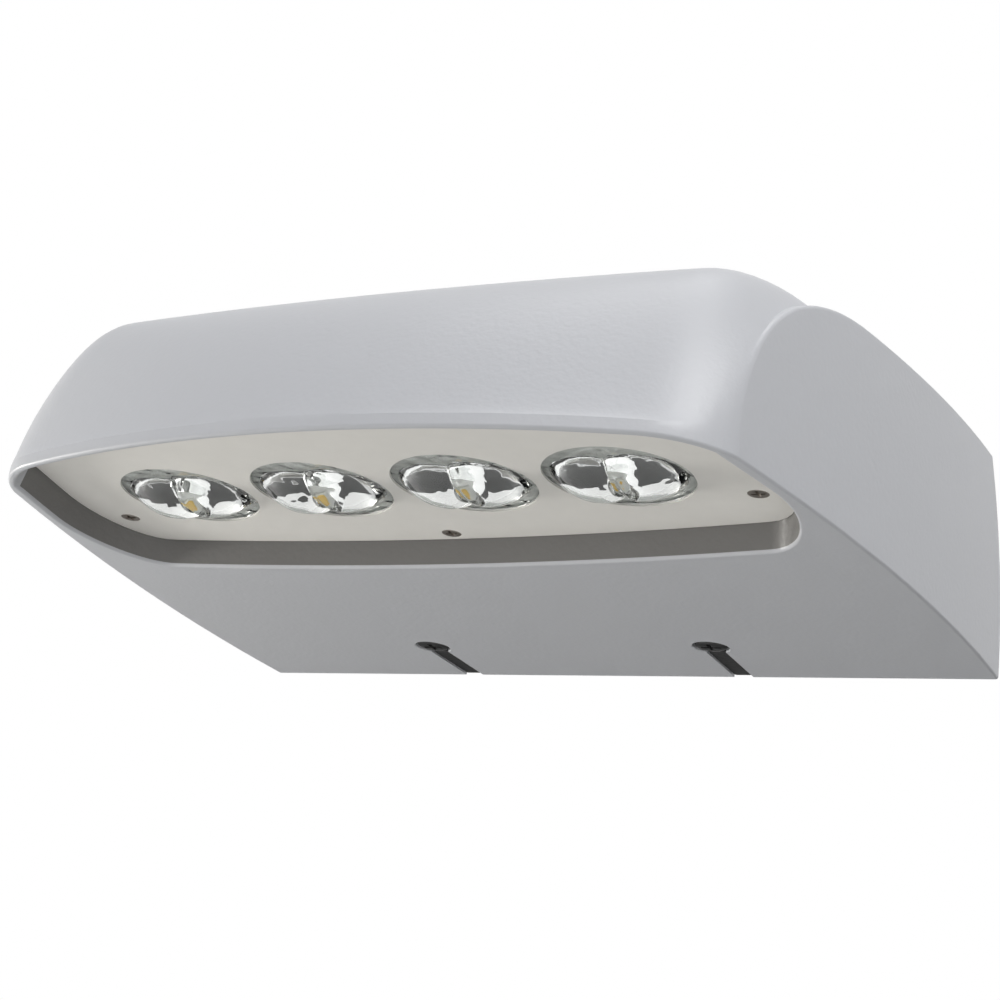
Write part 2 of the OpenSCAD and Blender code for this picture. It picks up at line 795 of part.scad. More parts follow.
// Tube swept along a route of round points, smoothed at each inner point
tube_sides = 8;
function smooth(route) = [for (i = [0 : len(route) - 1])
    if (i == 0 || i == len(route) - 1) route[i]
    else each [mix(route[i], route[i - 1], 0.25), mix(route[i], route[i + 1], 0.25)]];
module tube(route, r) {
    pts = smooth(smooth(route));
    n = len(pts);
    way = [for (i = [0 : n - 1]) i == 0 ? unit(pts[1] - pts[0])
        : i == n - 1 ? unit(pts[n - 1] - pts[n - 2])
        : unit(unit(pts[i + 1] - pts[i]) + unit(pts[i] - pts[i - 1]))];
    rings = [for (i = [0 : n - 1])
        let (across = unit(cross(way[i], [0.31, 0.95, 0.05])), up = cross(way[i], across))
        [for (k = [0 : tube_sides - 1])
            pts[i] + r * (across * cos(360 * k / tube_sides) + up * sin(360 * k / tube_sides))]];
    skin = [for (i = [0 : n - 2], k = [0 : tube_sides - 1])
        let (a = i * tube_sides + k, b = i * tube_sides + (k + 1) % tube_sides,
             c = a + tube_sides, d = b + tube_sides)
        each [[a, c, b], [b, c, d]]];
    polyhedron(points = [for (ring = rings) each ring],
               faces = concat([[for (k = [0 : tube_sides - 1]) k]], skin,
                              [[for (k = [tube_sides - 1 : -1 : 0]) (n - 1) * tube_sides + k]]));
}

// Route of the LED leads, from the board's connector through the grommet to the driver,
// and beside each point the way in which the two leads stand apart there
lead_side = 0.95;
lead_z = board_z - connector[2] / 2 - 0.1;
connector_rear = connector_at[1] + connector[1] / 2;
driver_mid_z = driver_top_z - driver_h / 2 - 3;
led_route = [
    [lead_hole[0], connector_rear, lead_z],
    [lead_hole[0], -board_back + 1, lead_z],
    [lead_hole[0], lead_hole[1], lead_z + 1.2],
    [lead_hole[0], lead_hole[1], driver_low_z - 6],
    [92, -118, driver_low_z + 4],
    [80, -driver_back, driver_mid_z],
    [driver_w / 2, -driver_back, driver_mid_z]];
led_apart = [[1, 0, 0], [1, 0, 0], [1, 0, 0], [0.91, 0.42, 0], [0.91, 0.42, 0], [0.69, 1, 0], [0, 1, 0]];

module led_lead(s) {
    tube([for (i = [0 : len(led_route) - 1]) led_route[i] + s * lead_side * led_apart[i]], lead_r);
}

module led_lead_red() {
    color([0.75, 0.1, 0.08])
    from_base()
    led_lead(1);
}

module led_lead_black() {
    color([0.08, 0.08, 0.08])
    from_base()
    led_lead(-1);
}

module driver_case() {
    color([0.78, 0.79, 0.8])
    from_base()
    translate([0, -driver_back, driver_low_z]) {
        difference() {
            linear_extrude(driver_h)
                rounded_square([driver_w, driver_d], 3);
            translate([0, 0, -cut])
                linear_extrude(driver_h - driver_wall + cut)
                    rounded_square([driver_w - 2 * driver_wall, driver_d - 2 * driver_wall], 2);
        }
        // Ears under the bosses
        mirrored_x()
            translate([driver_w / 2, 0, driver_h - driver_wall])
                difference() {
                    translate([-driver_wall / 2, -boss_r - 1, 0])
                        cube([driver_ear + driver_wall / 2, 2 * boss_r + 2, driver_wall]);
                    translate([driver_screw_x - driver_w / 2, 0, -cut])
                        cylinder(r = driver_screw_d / 2 + 0.2, h = driver_wall + 2 * cut);
                }
    }
}

module driver_potting() {
    color([0.15, 0.15, 0.16])
    from_base()
    translate([0, -driver_back, driver_low_z + 1])
        linear_extrude(driver_h - driver_wall - 1)
            rounded_square([driver_w - 2 * driver_wall, driver_d - 2 * driver_wall], 2);
}

module driver_screws() {
    head_h = 2.4;
    color([0.72, 0.73, 0.75])
    from_base()
    for (s = [-1, 1])
        translate([s * driver_screw_x, -driver_back, driver_top_z - driver_wall - head_h])
            screw(driver_screw_d - 0.1, head_h + driver_wall + 5, 3.6, head_h, false, 4);
}

// Push-in terminals on a boss of the base
module terminal_block() {
    base_z = wall + block_boss_h;
    color([0.9, 0.9, 0.88])
    from_base()
    translate([block_at[0], block_at[1], base_z])
        difference() {
            linear_extrude(block[2])
                rounded_square([block[0], block[1]], 1);
            // Wire mouths towards the wall and the hole for the screw
            for (x = [-7, 7])
                translate([x, block[1] / 2 - 6, block[2] / 2])
                    rotate([-90, 0, 0])
                        cylinder(r = 1.8, h = 8);
            translate([0, 0, -cut])
                cylinder(r = 1.6, h = block[2] + 2 * cut);
            translate([0, 0, block[2] - 4])
                cylinder(r = 3.1, h = 4 + cut);
        }
}

module terminal_screw() {
    color([0.72, 0.73, 0.75])
    from_base()
    translate([block_at[0], block_at[1], wall + block_boss_h + block[2] - 4 + 2])
        rotate([180, 0, 0])
            screw(2.9, 2 + block[2] - 4 + 4, 2.8, 2, false, 3);
}

module ground_screw() {
    color([0.2, 0.5, 0.25])
    from_base()
    translate([ground_at[0], ground_at[1], wall + ground_boss_h + 2.4])
        rotate([180, 0, 0])
            screw(3.9, 2.4 + 5, 4, 2.4, false, 4.5);
}

// Route of the supply leads, from the driver to the top of the terminal block
supply_route = [
    [-driver_w / 2, -driver_back, driver_mid_z],
    [-driver_w / 2 - 16, -driver_back, driver_mid_z],
    [block_at[0] + 8, -84, driver_low_z - 2],
    [block_at[0] + 5.5, block_at[1] - 4, driver_low_z - 10],
    [block_at[0] + 5.5, block_at[1] - 4, wall + block_boss_h + block[2]]];

module supply_lead(s) {
    tube([for (p = supply_route) p + s * lead_side * [0, 1, 0]], lead_r);
}

module supply_lead_live() {
    color([0.4, 0.25, 0.15])
    from_base()
    supply_lead(1);
}

module supply_lead_neutral() {
    color([0.15, 0.3, 0.6])
    from_base()
    supply_lead(-1);
}

housing();
wall_plate();
wall_gasket();
wire_bushing();
flange_nuts();
securing_screws();
optic_plate();
optic_plate_screws();
bay_gasket();
lens(lens_xs[0]);  // lens_1
lens(lens_xs[1]);  // lens_2
lens(lens_xs[2]);  // lens_3
lens(lens_xs[3]);  // lens_4
led(lens_xs[0]);  // led_1
led(lens_xs[1]);  // led_2
led(lens_xs[2]);  // led_3
led(lens_xs[3]);  // led_4
led_board();
board_screws();
board_connector();
thermal_pad();
lead_grommet();
led_lead_red();
led_lead_black();
driver_case();
driver_potting();
driver_screws();
terminal_block();
terminal_screw();
supply_lead_live();
supply_lead_neutral();
ground_screw();
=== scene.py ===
import json
import math

import bmesh
import bpy
from mathutils import Matrix, Vector

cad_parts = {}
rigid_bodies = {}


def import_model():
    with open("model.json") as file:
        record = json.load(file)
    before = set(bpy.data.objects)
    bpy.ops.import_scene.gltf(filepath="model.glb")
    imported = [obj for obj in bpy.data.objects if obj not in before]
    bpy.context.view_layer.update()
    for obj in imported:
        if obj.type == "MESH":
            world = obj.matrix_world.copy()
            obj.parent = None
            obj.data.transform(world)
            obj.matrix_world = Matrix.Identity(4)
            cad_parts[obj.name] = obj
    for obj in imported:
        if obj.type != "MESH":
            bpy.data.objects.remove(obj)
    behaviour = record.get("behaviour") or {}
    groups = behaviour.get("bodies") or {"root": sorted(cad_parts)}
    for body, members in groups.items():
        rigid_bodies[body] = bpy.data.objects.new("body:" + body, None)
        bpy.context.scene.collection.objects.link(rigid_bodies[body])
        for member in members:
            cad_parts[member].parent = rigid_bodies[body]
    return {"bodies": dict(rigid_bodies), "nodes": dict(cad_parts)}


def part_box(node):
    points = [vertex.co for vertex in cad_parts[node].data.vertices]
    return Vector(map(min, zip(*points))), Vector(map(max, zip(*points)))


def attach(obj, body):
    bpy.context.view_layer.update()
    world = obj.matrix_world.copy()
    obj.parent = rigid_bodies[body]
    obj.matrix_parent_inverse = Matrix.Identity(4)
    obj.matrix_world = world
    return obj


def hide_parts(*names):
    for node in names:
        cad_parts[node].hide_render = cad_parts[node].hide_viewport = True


bl_info = {
    "name": "LED wall pack",
    "version": (1, 0, 0),
    "blender": (4, 5, 0),
    "location": "View3D > Sidebar > Wall pack",
    "description": "Dresses the wall pack: cast housing, clear lenses, diodes, screws, leads and finishes",
    "category": "Object",
}

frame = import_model()
NODES = frame["nodes"]

MM = 0.001
BASE_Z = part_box("housing")[0].z
LENSES = ["lens_%d" % i for i in range(1, 5)]
DIODES = ["led_%d" % i for i in range(1, 5)]

# Points closer together than this are one point, and the finer grid that new meshes are welded on
SAME = 1e-6
WELD = 1e-7

# Steps of the housing's surface: over the nose, over the top, across, beside the crease, down the side, on
# its roundings, on each part of the bay's outline, and round the corners of flat rings
NOSE_STEPS = 32
TOP_STEPS = 12
ACROSS_STEPS = 34
OUTER_STEPS = 3
SIDE_STEPS = 14
ROUND_STEPS = 5
BAY_STEPS = 16
CORNER_STEPS = 6

# How much the steps across crowd towards the side, and how often a point on the crease is moved to its place
CROWDING = 1.4
CREASE_TRIES = 60
ROW_TRIES = 24

# How far the curve of the bay's rear corner keeps the direction of the cheek, and of the back
CHEEK_PULL = Vector((3.7, 20)) * MM
BACK_PULL = Vector((13, -1)) * MM


def length(name, words, value):
    """Property for a length, given in millimetres."""
    return bpy.props.FloatProperty(
        name=name, description=words, default=value * MM, subtype="DISTANCE", unit="LENGTH", precision=5)


def three_lengths(name, words, values):
    """Property for a length at the middle, at the shoulders and at the side, given in millimetres."""
    return bpy.props.FloatVectorProperty(
        name=name, description=words, default=[value * MM for value in values], subtype="XYZ_LENGTH",
        unit="LENGTH", precision=5)


def share(name, words, value):
    return bpy.props.FloatProperty(
        name=name, description=words, default=value, min=0, max=1, subtype="FACTOR")


def angle(name, words, degrees):
    return bpy.props.FloatProperty(
        name=name, description=words, default=math.radians(degrees), subtype="ANGLE", unit="ROTATION")


def tint(name, words, value):
    return bpy.props.FloatVectorProperty(
        name=name, description=words, default=value, min=0, max=1, size=3, subtype="COLOR")


class HousingSizes(bpy.types.PropertyGroup):
    """Sizes of the cast housing"""
    width: length("Width", "Width along the wall, at the base", 305.6)
    reach: length("Reach", "How far the front stands out from the wall", 242.2)
    height: length("Height", "Height at the wall", 87.1)
    front_r: length("Front radius", "Radius of the bowed front edge, seen from above", 373)
    corner_r: length("Corner radius", "Radius of the front corners, seen from above", 36)
    corner_in: length("Corner place", "From the side in to the centre of a front corner", 58.8)
    side_r: length("Side bow", "Radius of the bowed sides, seen from above", 833)
    barrel_r: length("Side barrel", "Radius of the bowed sides, seen from the front", 588)
    wall: length("Wall", "Thickness of the casting", 3.5)
    top_fall: share("Top fall", "Fall of the top towards the front, for each unit of length", 0.097)
    crease: length("Crease", "Width of the rounding on each side of the crease", 1.3)
    edge: length("Edge", "Radius of the edge round the base", 1.0)
    foot: three_lengths("Foot", "Upright foot of the front face", (4, 4.1, 5.4))
    rise: three_lengths("Rise", "Rise of the nose curve above the foot", (6.7, 6.1, 35.2))
    lean: three_lengths("Lean", "Lean of that rise, towards the wall", (4, 7.1, 0))
    flat: three_lengths("Flat", "Flatness of the nose where it runs into the top", (41.7, 38.4, 53))
    end: three_lengths("End", "From the front to the end of the nose curve", (58.9, 68.5, 110.2))
    swell: three_lengths("Swell", "How much the top swells", (0.9, 3.9, 0))


class BaySizes(bpy.types.PropertyGroup):
    """Sizes of the recess for the optics and of the cast inside"""
    lip: length("Lip", "Width of the lip in front of the bay", 3)
    cheek: length("Cheek", "Width of the cheek beside the bay", 4.5)
    back: length("Back", "From the front of the housing to the back edge of the bay", 115.7)
    back_r: length("Back radius", "Radius of the bowed back edge", 900)
    back_half: length("Back half", "Half the length of the back edge", 112)
    cheek_from: length("Cheek start", "From the front of the housing to where the cheeks start", 37.2)
    cheek_to: length("Cheek stop", "From the front of the housing to where the cheeks stop", 62.2)
    corner_stop: angle("Corner stop", "Where the bay's front corners stop turning", -32)
    draft: length("Draft", "How far the bay's wall leans in up to the optic plate", 2.4)
    plate: length("Plate", "Height of the optic plate above the base", 9)
    ledge: length("Ledge", "Height of the ledge above the base", 11.6)
    pocket: length("Pocket", "Height of the floor of the board's pocket", 14.7)
    roof: length("Roof", "Height of the dry side of the cast floor", 19.5)
    rim: length("Rim", "Radius of the edge round the bay", 1.5)
    slot_w: length("Slot", "Width of the open slots", 7.6)
    slot_pocket: length("Slot pocket", "Diameter of the pocket at the end of a slot", 13.6)
    slot_depth: length("Slot depth", "Depth of that pocket", 3)
    slot_rim: length("Slot rim", "Radius of the edge of the slots", 0.5)
    pad: length("Pad", "Thickness of the base round the slots", 6)
    rib: length("Rib", "Thickness of the ribs over the bay", 3)


class LensSizes(bpy.types.PropertyGroup):
    """Sizes of one clear lens"""
    lobe_r: length("Lobe radius", "Radius of each lobe where it starts", 15)
    lobe_h: length("Lobe height", "Height of the lobes", 7.3)
    lobe_x: length("Lobe place", "From the middle of the lens to a lobe", 6.3)
    blend: length("Blend", "Softness of the foot of the lobes", 0.8)
    groove: length("Groove", "Depth of the groove between the lobes", 1.0)
    groove_w: length("Groove width", "Half the width of that groove", 4.2)
    hollow_r: length("Hollow", "Radius of the hollow over the diode", 5.4)
    body_r: length("Body", "Radius of the part inside the plate's opening", 23.3)
    step: length("Step", "How far the lens stands back from the plate's face", 0.6)
    plate_t: length("Plate thickness", "Thickness of the optic plate", 1.6)
    clear: length("Clearance", "Thin gap that keeps clear faces apart", 0.05)


class StageSizes(bpy.types.PropertyGroup):
    """Camera, floor and light"""
    place: bpy.props.FloatVectorProperty(
        name="Camera place", description="Where the camera stands", default=(0.30130, -0.64845, -0.23692),
        subtype="TRANSLATION", unit="LENGTH", precision=5)
    azimuth: angle("Azimuth", "How far round the lamp the camera stands", 28.994)
    elevation: angle("Elevation", "How far above the lamp the camera stands", -19.957)
    roll: angle("Roll", "How far the picture is turned", 8.508)
    lens: bpy.props.FloatProperty(
        name="Focal length", description="Camera lens, in millimetres", default=67.58)
    floor: bpy.props.FloatProperty(
        name="Floor", description="Height of the floor", default=-0.34, subtype="DISTANCE", unit="LENGTH")
    floor_lift: bpy.props.FloatProperty(
        name="Floor lift", description="Added brightness of the floor where it is seen", default=0.45, min=0)
    ambient: bpy.props.FloatProperty(
        name="Ambient", description="Light from all round", default=0.02, min=0)


class Finishes(bpy.types.PropertyGroup):
    """Colours of the finishes, and the colour of the painted shade on the bay's walls"""
    coat: tint("Powder coat", "Silver grey of the housing", (0.53, 0.54, 0.57))
    # Painted shade: the bay's walls get this darker colour, standing in for the shade that falls in the
    # recess
    bay: tint("Bay wall", "Thin, dark coat on the walls of the bay", (0.18, 0.175, 0.17))
    plate: tint("Optic plate", "Warm white of the optic plate", (0.80, 0.785, 0.75))
    black: tint("Black coat", "Black of the wall plate and its screws", (0.020, 0.020, 0.021))
    acrylic: tint("Clear acrylic", "Tint of the lenses", (0.97, 0.99, 0.98))
    phosphor: tint("Phosphor", "Yellow of the diodes", (0.86, 0.56, 0.09))
    steel: tint("Plate screws", "Dulled steel of the plate screws", (0.30, 0.27, 0.24))


def link(name, mesh):
    """New object for a mesh, in the scene."""
    piece = bpy.data.objects.new(name, mesh)
    bpy.context.scene.collection.objects.link(piece)
    return piece


def discard(piece):
    """Removes an object with its mesh."""
    mesh = piece.data
    bpy.data.objects.remove(piece)
    bpy.data.meshes.remove(mesh)


def bake(piece):
    """Puts the result of the piece's modifiers into its mesh and removes them."""
    bpy.context.view_layer.update()
    graph = bpy.context.evaluated_depsgraph_get()
    mesh = bpy.data.meshes.new_from_object(piece.evaluated_get(graph), preserve_all_data_layers=True,
                                           depsgraph=graph)
    if not mesh.polygons:
        raise RuntimeError("%s came out empty" % piece.name)
    old, name = piece.data, piece.data.name
    piece.modifiers.clear()
    piece.data = mesh
    bpy.data.meshes.remove(old)
    mesh.name = name


def weld(name, polygons):
    """Mesh from polygons of points: points in one place become one vertex, and faces point outwards."""
    index, points, faces = {}, [], []
    for polygon in polygons:
        face = []
        for point in polygon:
            key = tuple(round(value / WELD) for value in point)
            if key not in index:
                index[key] = len(points)
                points.append(tuple(point))
            if index[key] not in face:
                face.append(index[key])
        if len(face) > 2:
            faces.append(face)
    mesh = bpy.data.meshes.new(name)
    mesh.from_pydata(points, [], faces)
    form = bmesh.new()
    form.from_mesh(mesh)
    bmesh.ops.recalc_face_normals(form, faces=form.faces)
    form.to_mesh(mesh)
    form.free()
    return mesh


def new_piece(name, polygons):
    """New object made of these polygons."""
    return link(name, weld(name, polygons))


def strung(name, points, edges=()):
    """New object with only points, and with edges where they are given."""
    mesh = bpy.data.meshes.new(name)
    mesh.from_pydata([tuple(point) for point in points], edges, [])
    return link(name, mesh)


def strips(rings, closed=True):
    """Quads between neighbouring rings of points."""
    count = len(rings[0])
    for low, high in zip(rings, rings[1:]):
        for i in range(count if closed else count - 1):
            j = (i + 1) % count
            yield (low[i], low[j], high[j], high[i])


def loft(rings):
    """Closed body through rings of points."""
    return [*strips(rings), rings[0][::-1], rings[-1]]


def circle(radius, z, sides, x=0.0, y=0.0):
    """Ring of points round an upright axis."""
    turns = [2 * math.pi * i / sides for i in range(sides)]
    return [Vector((x + radius * math.cos(a), y + radius * math.sin(a), z)) for a in turns]


def turned(profile, sides, x=0.0, y=0.0):
    """Closed body turned about an upright axis, from (radius, height) points that start and end on it."""
    return list(strips([circle(radius, height, sides, x, y) for radius, height in profile]))


def post(centre, radius, low, high, sides=32):
    """Upright round post."""
    return turned([(0, low), (radius, low), (radius, high), (0, high)], sides, centre[0], centre[1])


def block(low, high):
    """Box between two corners."""
    ring = [(low[0], low[1]), (high[0], low[1]), (high[0], high[1]), (low[0], high[1])]
    return loft([[Vector((x, y, z)) for x, y in ring] for z in (low[2], high[2])])


def cut(piece, polygons, operation="DIFFERENCE", crossing=False):
    """Takes the closed bodies made of these polygons out of the piece, or keeps only what lies in them."""
    cutter = new_piece("cutter", polygons)
    modifier = piece.modifiers.new("cut", "BOOLEAN")
    modifier.operation, modifier.solver = operation, "EXACT"
    modifier.use_self = crossing
    modifier.object = cutter
    bake(piece)
    discard(cutter)


def smooth(piece, degrees=28):
    """Shades smooth, with sharp edges kept and flat faces flat."""
    mesh = piece.data
    mesh.polygons.foreach_set("use_smooth", [True] * len(mesh.polygons))
    mesh.set_sharp_from_angle(angle=math.radians(degrees))
    modifier = piece.modifiers.new("normals", "WEIGHTED_NORMAL")
    modifier.keep_sharp = True
    modifier.weight = 80
    bake(piece)


def finished(piece, material, slot, *nodes):
    """Gives a piece its finish and places it in the frame."""
    piece.data.materials.clear()
    piece.data.materials.append(material)
    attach(piece, "root")
    if nodes:
        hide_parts(*nodes)


def solids(node):
    """Lowest and highest corner of each separate solid of a CAD node, from left to right."""
    form = bmesh.new()
    form.from_mesh(NODES[node].data)
    bmesh.ops.remove_doubles(form, verts=form.verts, dist=SAME)
    left, found = set(form.verts), []
    while left:
        ends = [left.pop()]
        members = list(ends)
        while ends:
            for edge in ends.pop().link_edges:
                for vertex in edge.verts:
                    if vertex in left:
                        left.remove(vertex)
                        ends.append(vertex)
                        members.append(vertex)
        found.append(tuple(Vector([pick(v.co[axis] for v in members) for axis in range(3)])
                           for pick in (min, max)))
    form.free()
    return sorted(found, key=lambda corners: (round(corners[0].x, 4), corners[0].y))


def middle(box):
    """Middle of a (lowest corner, highest corner) box."""
    return (box[0] + box[1]) / 2


def over_middle(box, z):
    """Point at the height z, above or below the middle of a box."""
    low, high = box
    return Vector(((low.x + high.x) / 2, (low.y + high.y) / 2, z))


class Nodes:
    """Node tree whose nodes are added together with their inputs."""

    def __init__(self, tree):
        self.tree = tree

    def add(self, kind, inputs=(), **settings):
        """New node; inputs maps a socket's name or place to a value or to another socket."""
        node = self.tree.nodes.new(kind)
        for name, value in settings.items():
            setattr(node, name, value)
        for name, value in dict(inputs).items():
            self.feed(node.inputs[name], value)
        return node

    def feed(self, socket, value):
        """Links a socket to another one, or sets its value."""
        if isinstance(value, bpy.types.NodeSocket):
            self.tree.links.new(value, socket)
        else:
            socket.default_value = value

    def calc(self, operation, *values):
        """Result of a math node on sockets or numbers."""
        return self.add("ShaderNodeMath", dict(enumerate(values)), operation=operation).outputs[0]

    def seen_rays(self):
        """1 where the camera sees something straight, mirrored or through clear parts, else 0."""
        rays = self.add("ShaderNodeLightPath").outputs
        seen = rays["Is Camera Ray"]
        for name in ("Is Glossy Ray", "Is Transmission Ray"):
            seen = self.calc("MAXIMUM", seen, rays[name])
        return seen


class Tree(Nodes):
    """Geometry node tree with named inputs."""

    def __init__(self, name, **inputs):
        super().__init__(bpy.data.node_groups.new(name, "GeometryNodeTree"))
        face = self.tree.interface
        face.new_socket("Geometry", in_out="INPUT", socket_type="NodeSocketGeometry")
        for label, kind in inputs.items():
            face.new_socket(label, in_out="INPUT", socket_type="NodeSocket" + kind)
        face.new_socket("Geometry", in_out="OUTPUT", socket_type="NodeSocketGeometry")
        self.given = self.tree.nodes.new("NodeGroupInput").outputs
        self.result = self.tree.nodes.new("NodeGroupOutput").inputs[0]

    def end(self, geometry, material):
        """Realizes what was repeated, sets its material and closes the tree."""
        real = self.add("GeometryNodeRealizeInstances", {"Geometry": geometry}).outputs[0]
        painted = self.add("GeometryNodeSetMaterial", {"Geometry": real, "Material": material}).outputs[0]
        self.tree.links.new(painted, self.result)
        return self.tree

    def repeat(self, points, shape, turn=(0, 0, 0)):
        """The shape at each point, turned."""
        return self.add("GeometryNodeInstanceOnPoints",
                        {"Points": points, "Instance": shape, "Rotation": turn}).outputs[0]


def grow(piece, tree, **values):
    """Runs a node tree on a piece with these inputs and keeps the result as a plain mesh."""
    modifier = piece.modifiers.new(tree.name, "NODES")
    modifier.node_group = tree
    for item in tree.interface.items_tree:
        if item.item_type == "SOCKET" and item.in_out == "INPUT" and item.name in values:
            modifier[item.identifier] = values[item.name]
    bake(piece)


class Shader(Nodes):
    """Surface finish made of nodes, with its pattern on Object coordinates."""

    def __init__(self, name, colour, roughness, **sockets):
        self.material = bpy.data.materials.new(name)
        self.material.use_nodes = True
        super().__init__(self.material.node_tree)
        self.shader = self.tree.nodes["Principled BSDF"]
        self.colour, self.roughness = colour, roughness
        self.set("Base Color", (*colour, 1))
        self.set("Roughness", roughness)
        for label, value in sockets.items():
            self.set(label.replace("_", " "), value)
        self.place = self.add("ShaderNodeTexCoord").outputs["Object"]
        self.normal = None

    def set(self, label, value):
        """Sets a socket of the shader to a value, or links it to another socket."""
        self.feed(self.shader.inputs[label], value)

    def noise(self, grain, stretch=(1, 1, 1), detail=2.0, kind="ShaderNodeTexNoise"):
        """Pattern whose grain has about this size, drawn out along an axis where stretch is below 1."""
        place = self.add("ShaderNodeMapping", {"Vector": self.place, "Scale": stretch}).outputs[0]
        pattern = self.add(kind, {"Vector": place, "Scale": 1 / grain, "Detail": detail})
        return pattern.outputs["Fac" if "Fac" in pattern.outputs else "Distance"]

    def blend(self, share_of_b, a, b):
        """Colour between two others."""
        mix = self.add("ShaderNodeMix", {"Factor": share_of_b, "A": a, "B": b}, data_type="RGBA")
        return mix.outputs["Result"]

    def bump(self, pattern, depth):
        """Relief of this depth; a second one lies over the first."""
        node = self.add("ShaderNodeBump", {"Height": pattern, "Distance": depth})
        if self.normal:
            self.feed(node.inputs["Normal"], self.normal)
        self.normal = node.outputs[0]
        self.set("Normal", self.normal)
        return self

    def vary(self, pattern, tone, gloss):
        """Colour and roughness that wander a little with the pattern."""
        dark, pale = [(*[min(c * level, 1) for c in self.colour], 1) for level in (1 - tone, 1 + tone)]
        self.set("Base Color", self.blend(pattern, dark, pale))
        low, high = max(self.roughness - gloss, 0), min(self.roughness + gloss, 1)
        spread = self.add("ShaderNodeMapRange", {"Value": pattern, "To Min": low, "To Max": high})
        self.set("Roughness", spread.outputs["Result"])
        return self

    def paint_shade(self, colour, half, side_r, front, rear, low, high):
        """Painted shade: another colour between two depths and two heights, within the bowed sides."""
        x, y, z = self.add("ShaderNodeSeparateXYZ", {0: self.place}).outputs
        bow = self.calc("MULTIPLY", self.calc("POWER", y, 2), 1 / (2 * side_r))
        inside = self.calc("LESS_THAN", self.calc("ADD", self.calc("ABSOLUTE", x), bow), half)
        for value, limit, operation in ((y, front, "GREATER_THAN"), (y, rear, "LESS_THAN"),
                                        (z, low, "GREATER_THAN"), (z, high, "LESS_THAN")):
            inside = self.calc("MULTIPLY", inside, self.calc(operation, value, limit))
        # Painted shade: the shaded part of the recess gets the darker colour
        source = self.shader.inputs["Base Color"].links[0].from_socket
        self.set("Base Color", self.blend(inside, source, (*colour, 1)))


def powder_coat(name, colour, roughness=0.38, painted_shade_where=None):
    """Baked powder: a soft orange peel with fine grain over it, and painted shade in a darker colour where it
    is asked for.
    """
    coat = Shader(name, colour, roughness)
    coat.bump(coat.noise(1.9 * MM, detail=1), 0.10 * MM).bump(coat.noise(0.7 * MM), 0.02 * MM)
    coat.vary(coat.noise(14 * MM), 0.012, 0.04)
    # Painted shade on the bay's walls, when a place for it is given
    if painted_shade_where:
        coat.paint_shade(*painted_shade_where)
    return coat.material


def moulded(name, colour, roughness, grain=0.5, depth=0.01):
    """Moulded plastic or rubber with a fine skin; grain and depth are in millimetres."""
    skin = Shader(name, colour, roughness)
    return skin.bump(skin.noise(grain * MM), depth * MM).vary(skin.noise(6 * MM), 0.03, 0.06).material


def metal(name, colour, roughness, stretch=(1, 1, 1)):
    """Bare or plated metal with fine marks, drawn out along its grain."""
    steel = Shader(name, colour, roughness, Metallic=1.0)
    steel.bump(steel.noise(0.25 * MM, stretch), 0.006 * MM)
    return steel.vary(steel.noise(3 * MM, stretch), 0.10, 0.10).material


def clear(name, colour):
    """Polished clear acrylic with the slight waves of a moulding."""
    glass = Shader(name, colour, 0.0, Transmission_Weight=1.0, IOR=1.49)
    return glass.bump(glass.noise(6 * MM, detail=1), 0.35 * MM).material


def cellular(name, colour):
    """Closed cell foam with open pores on its cut face."""
    foam = Shader(name, colour, 0.9)
    foam.bump(foam.noise(0.8 * MM, kind="ShaderNodeTexVoronoi"), 0.12 * MM)
    return foam.vary(foam.noise(2 * MM), 0.15, 0.05).material


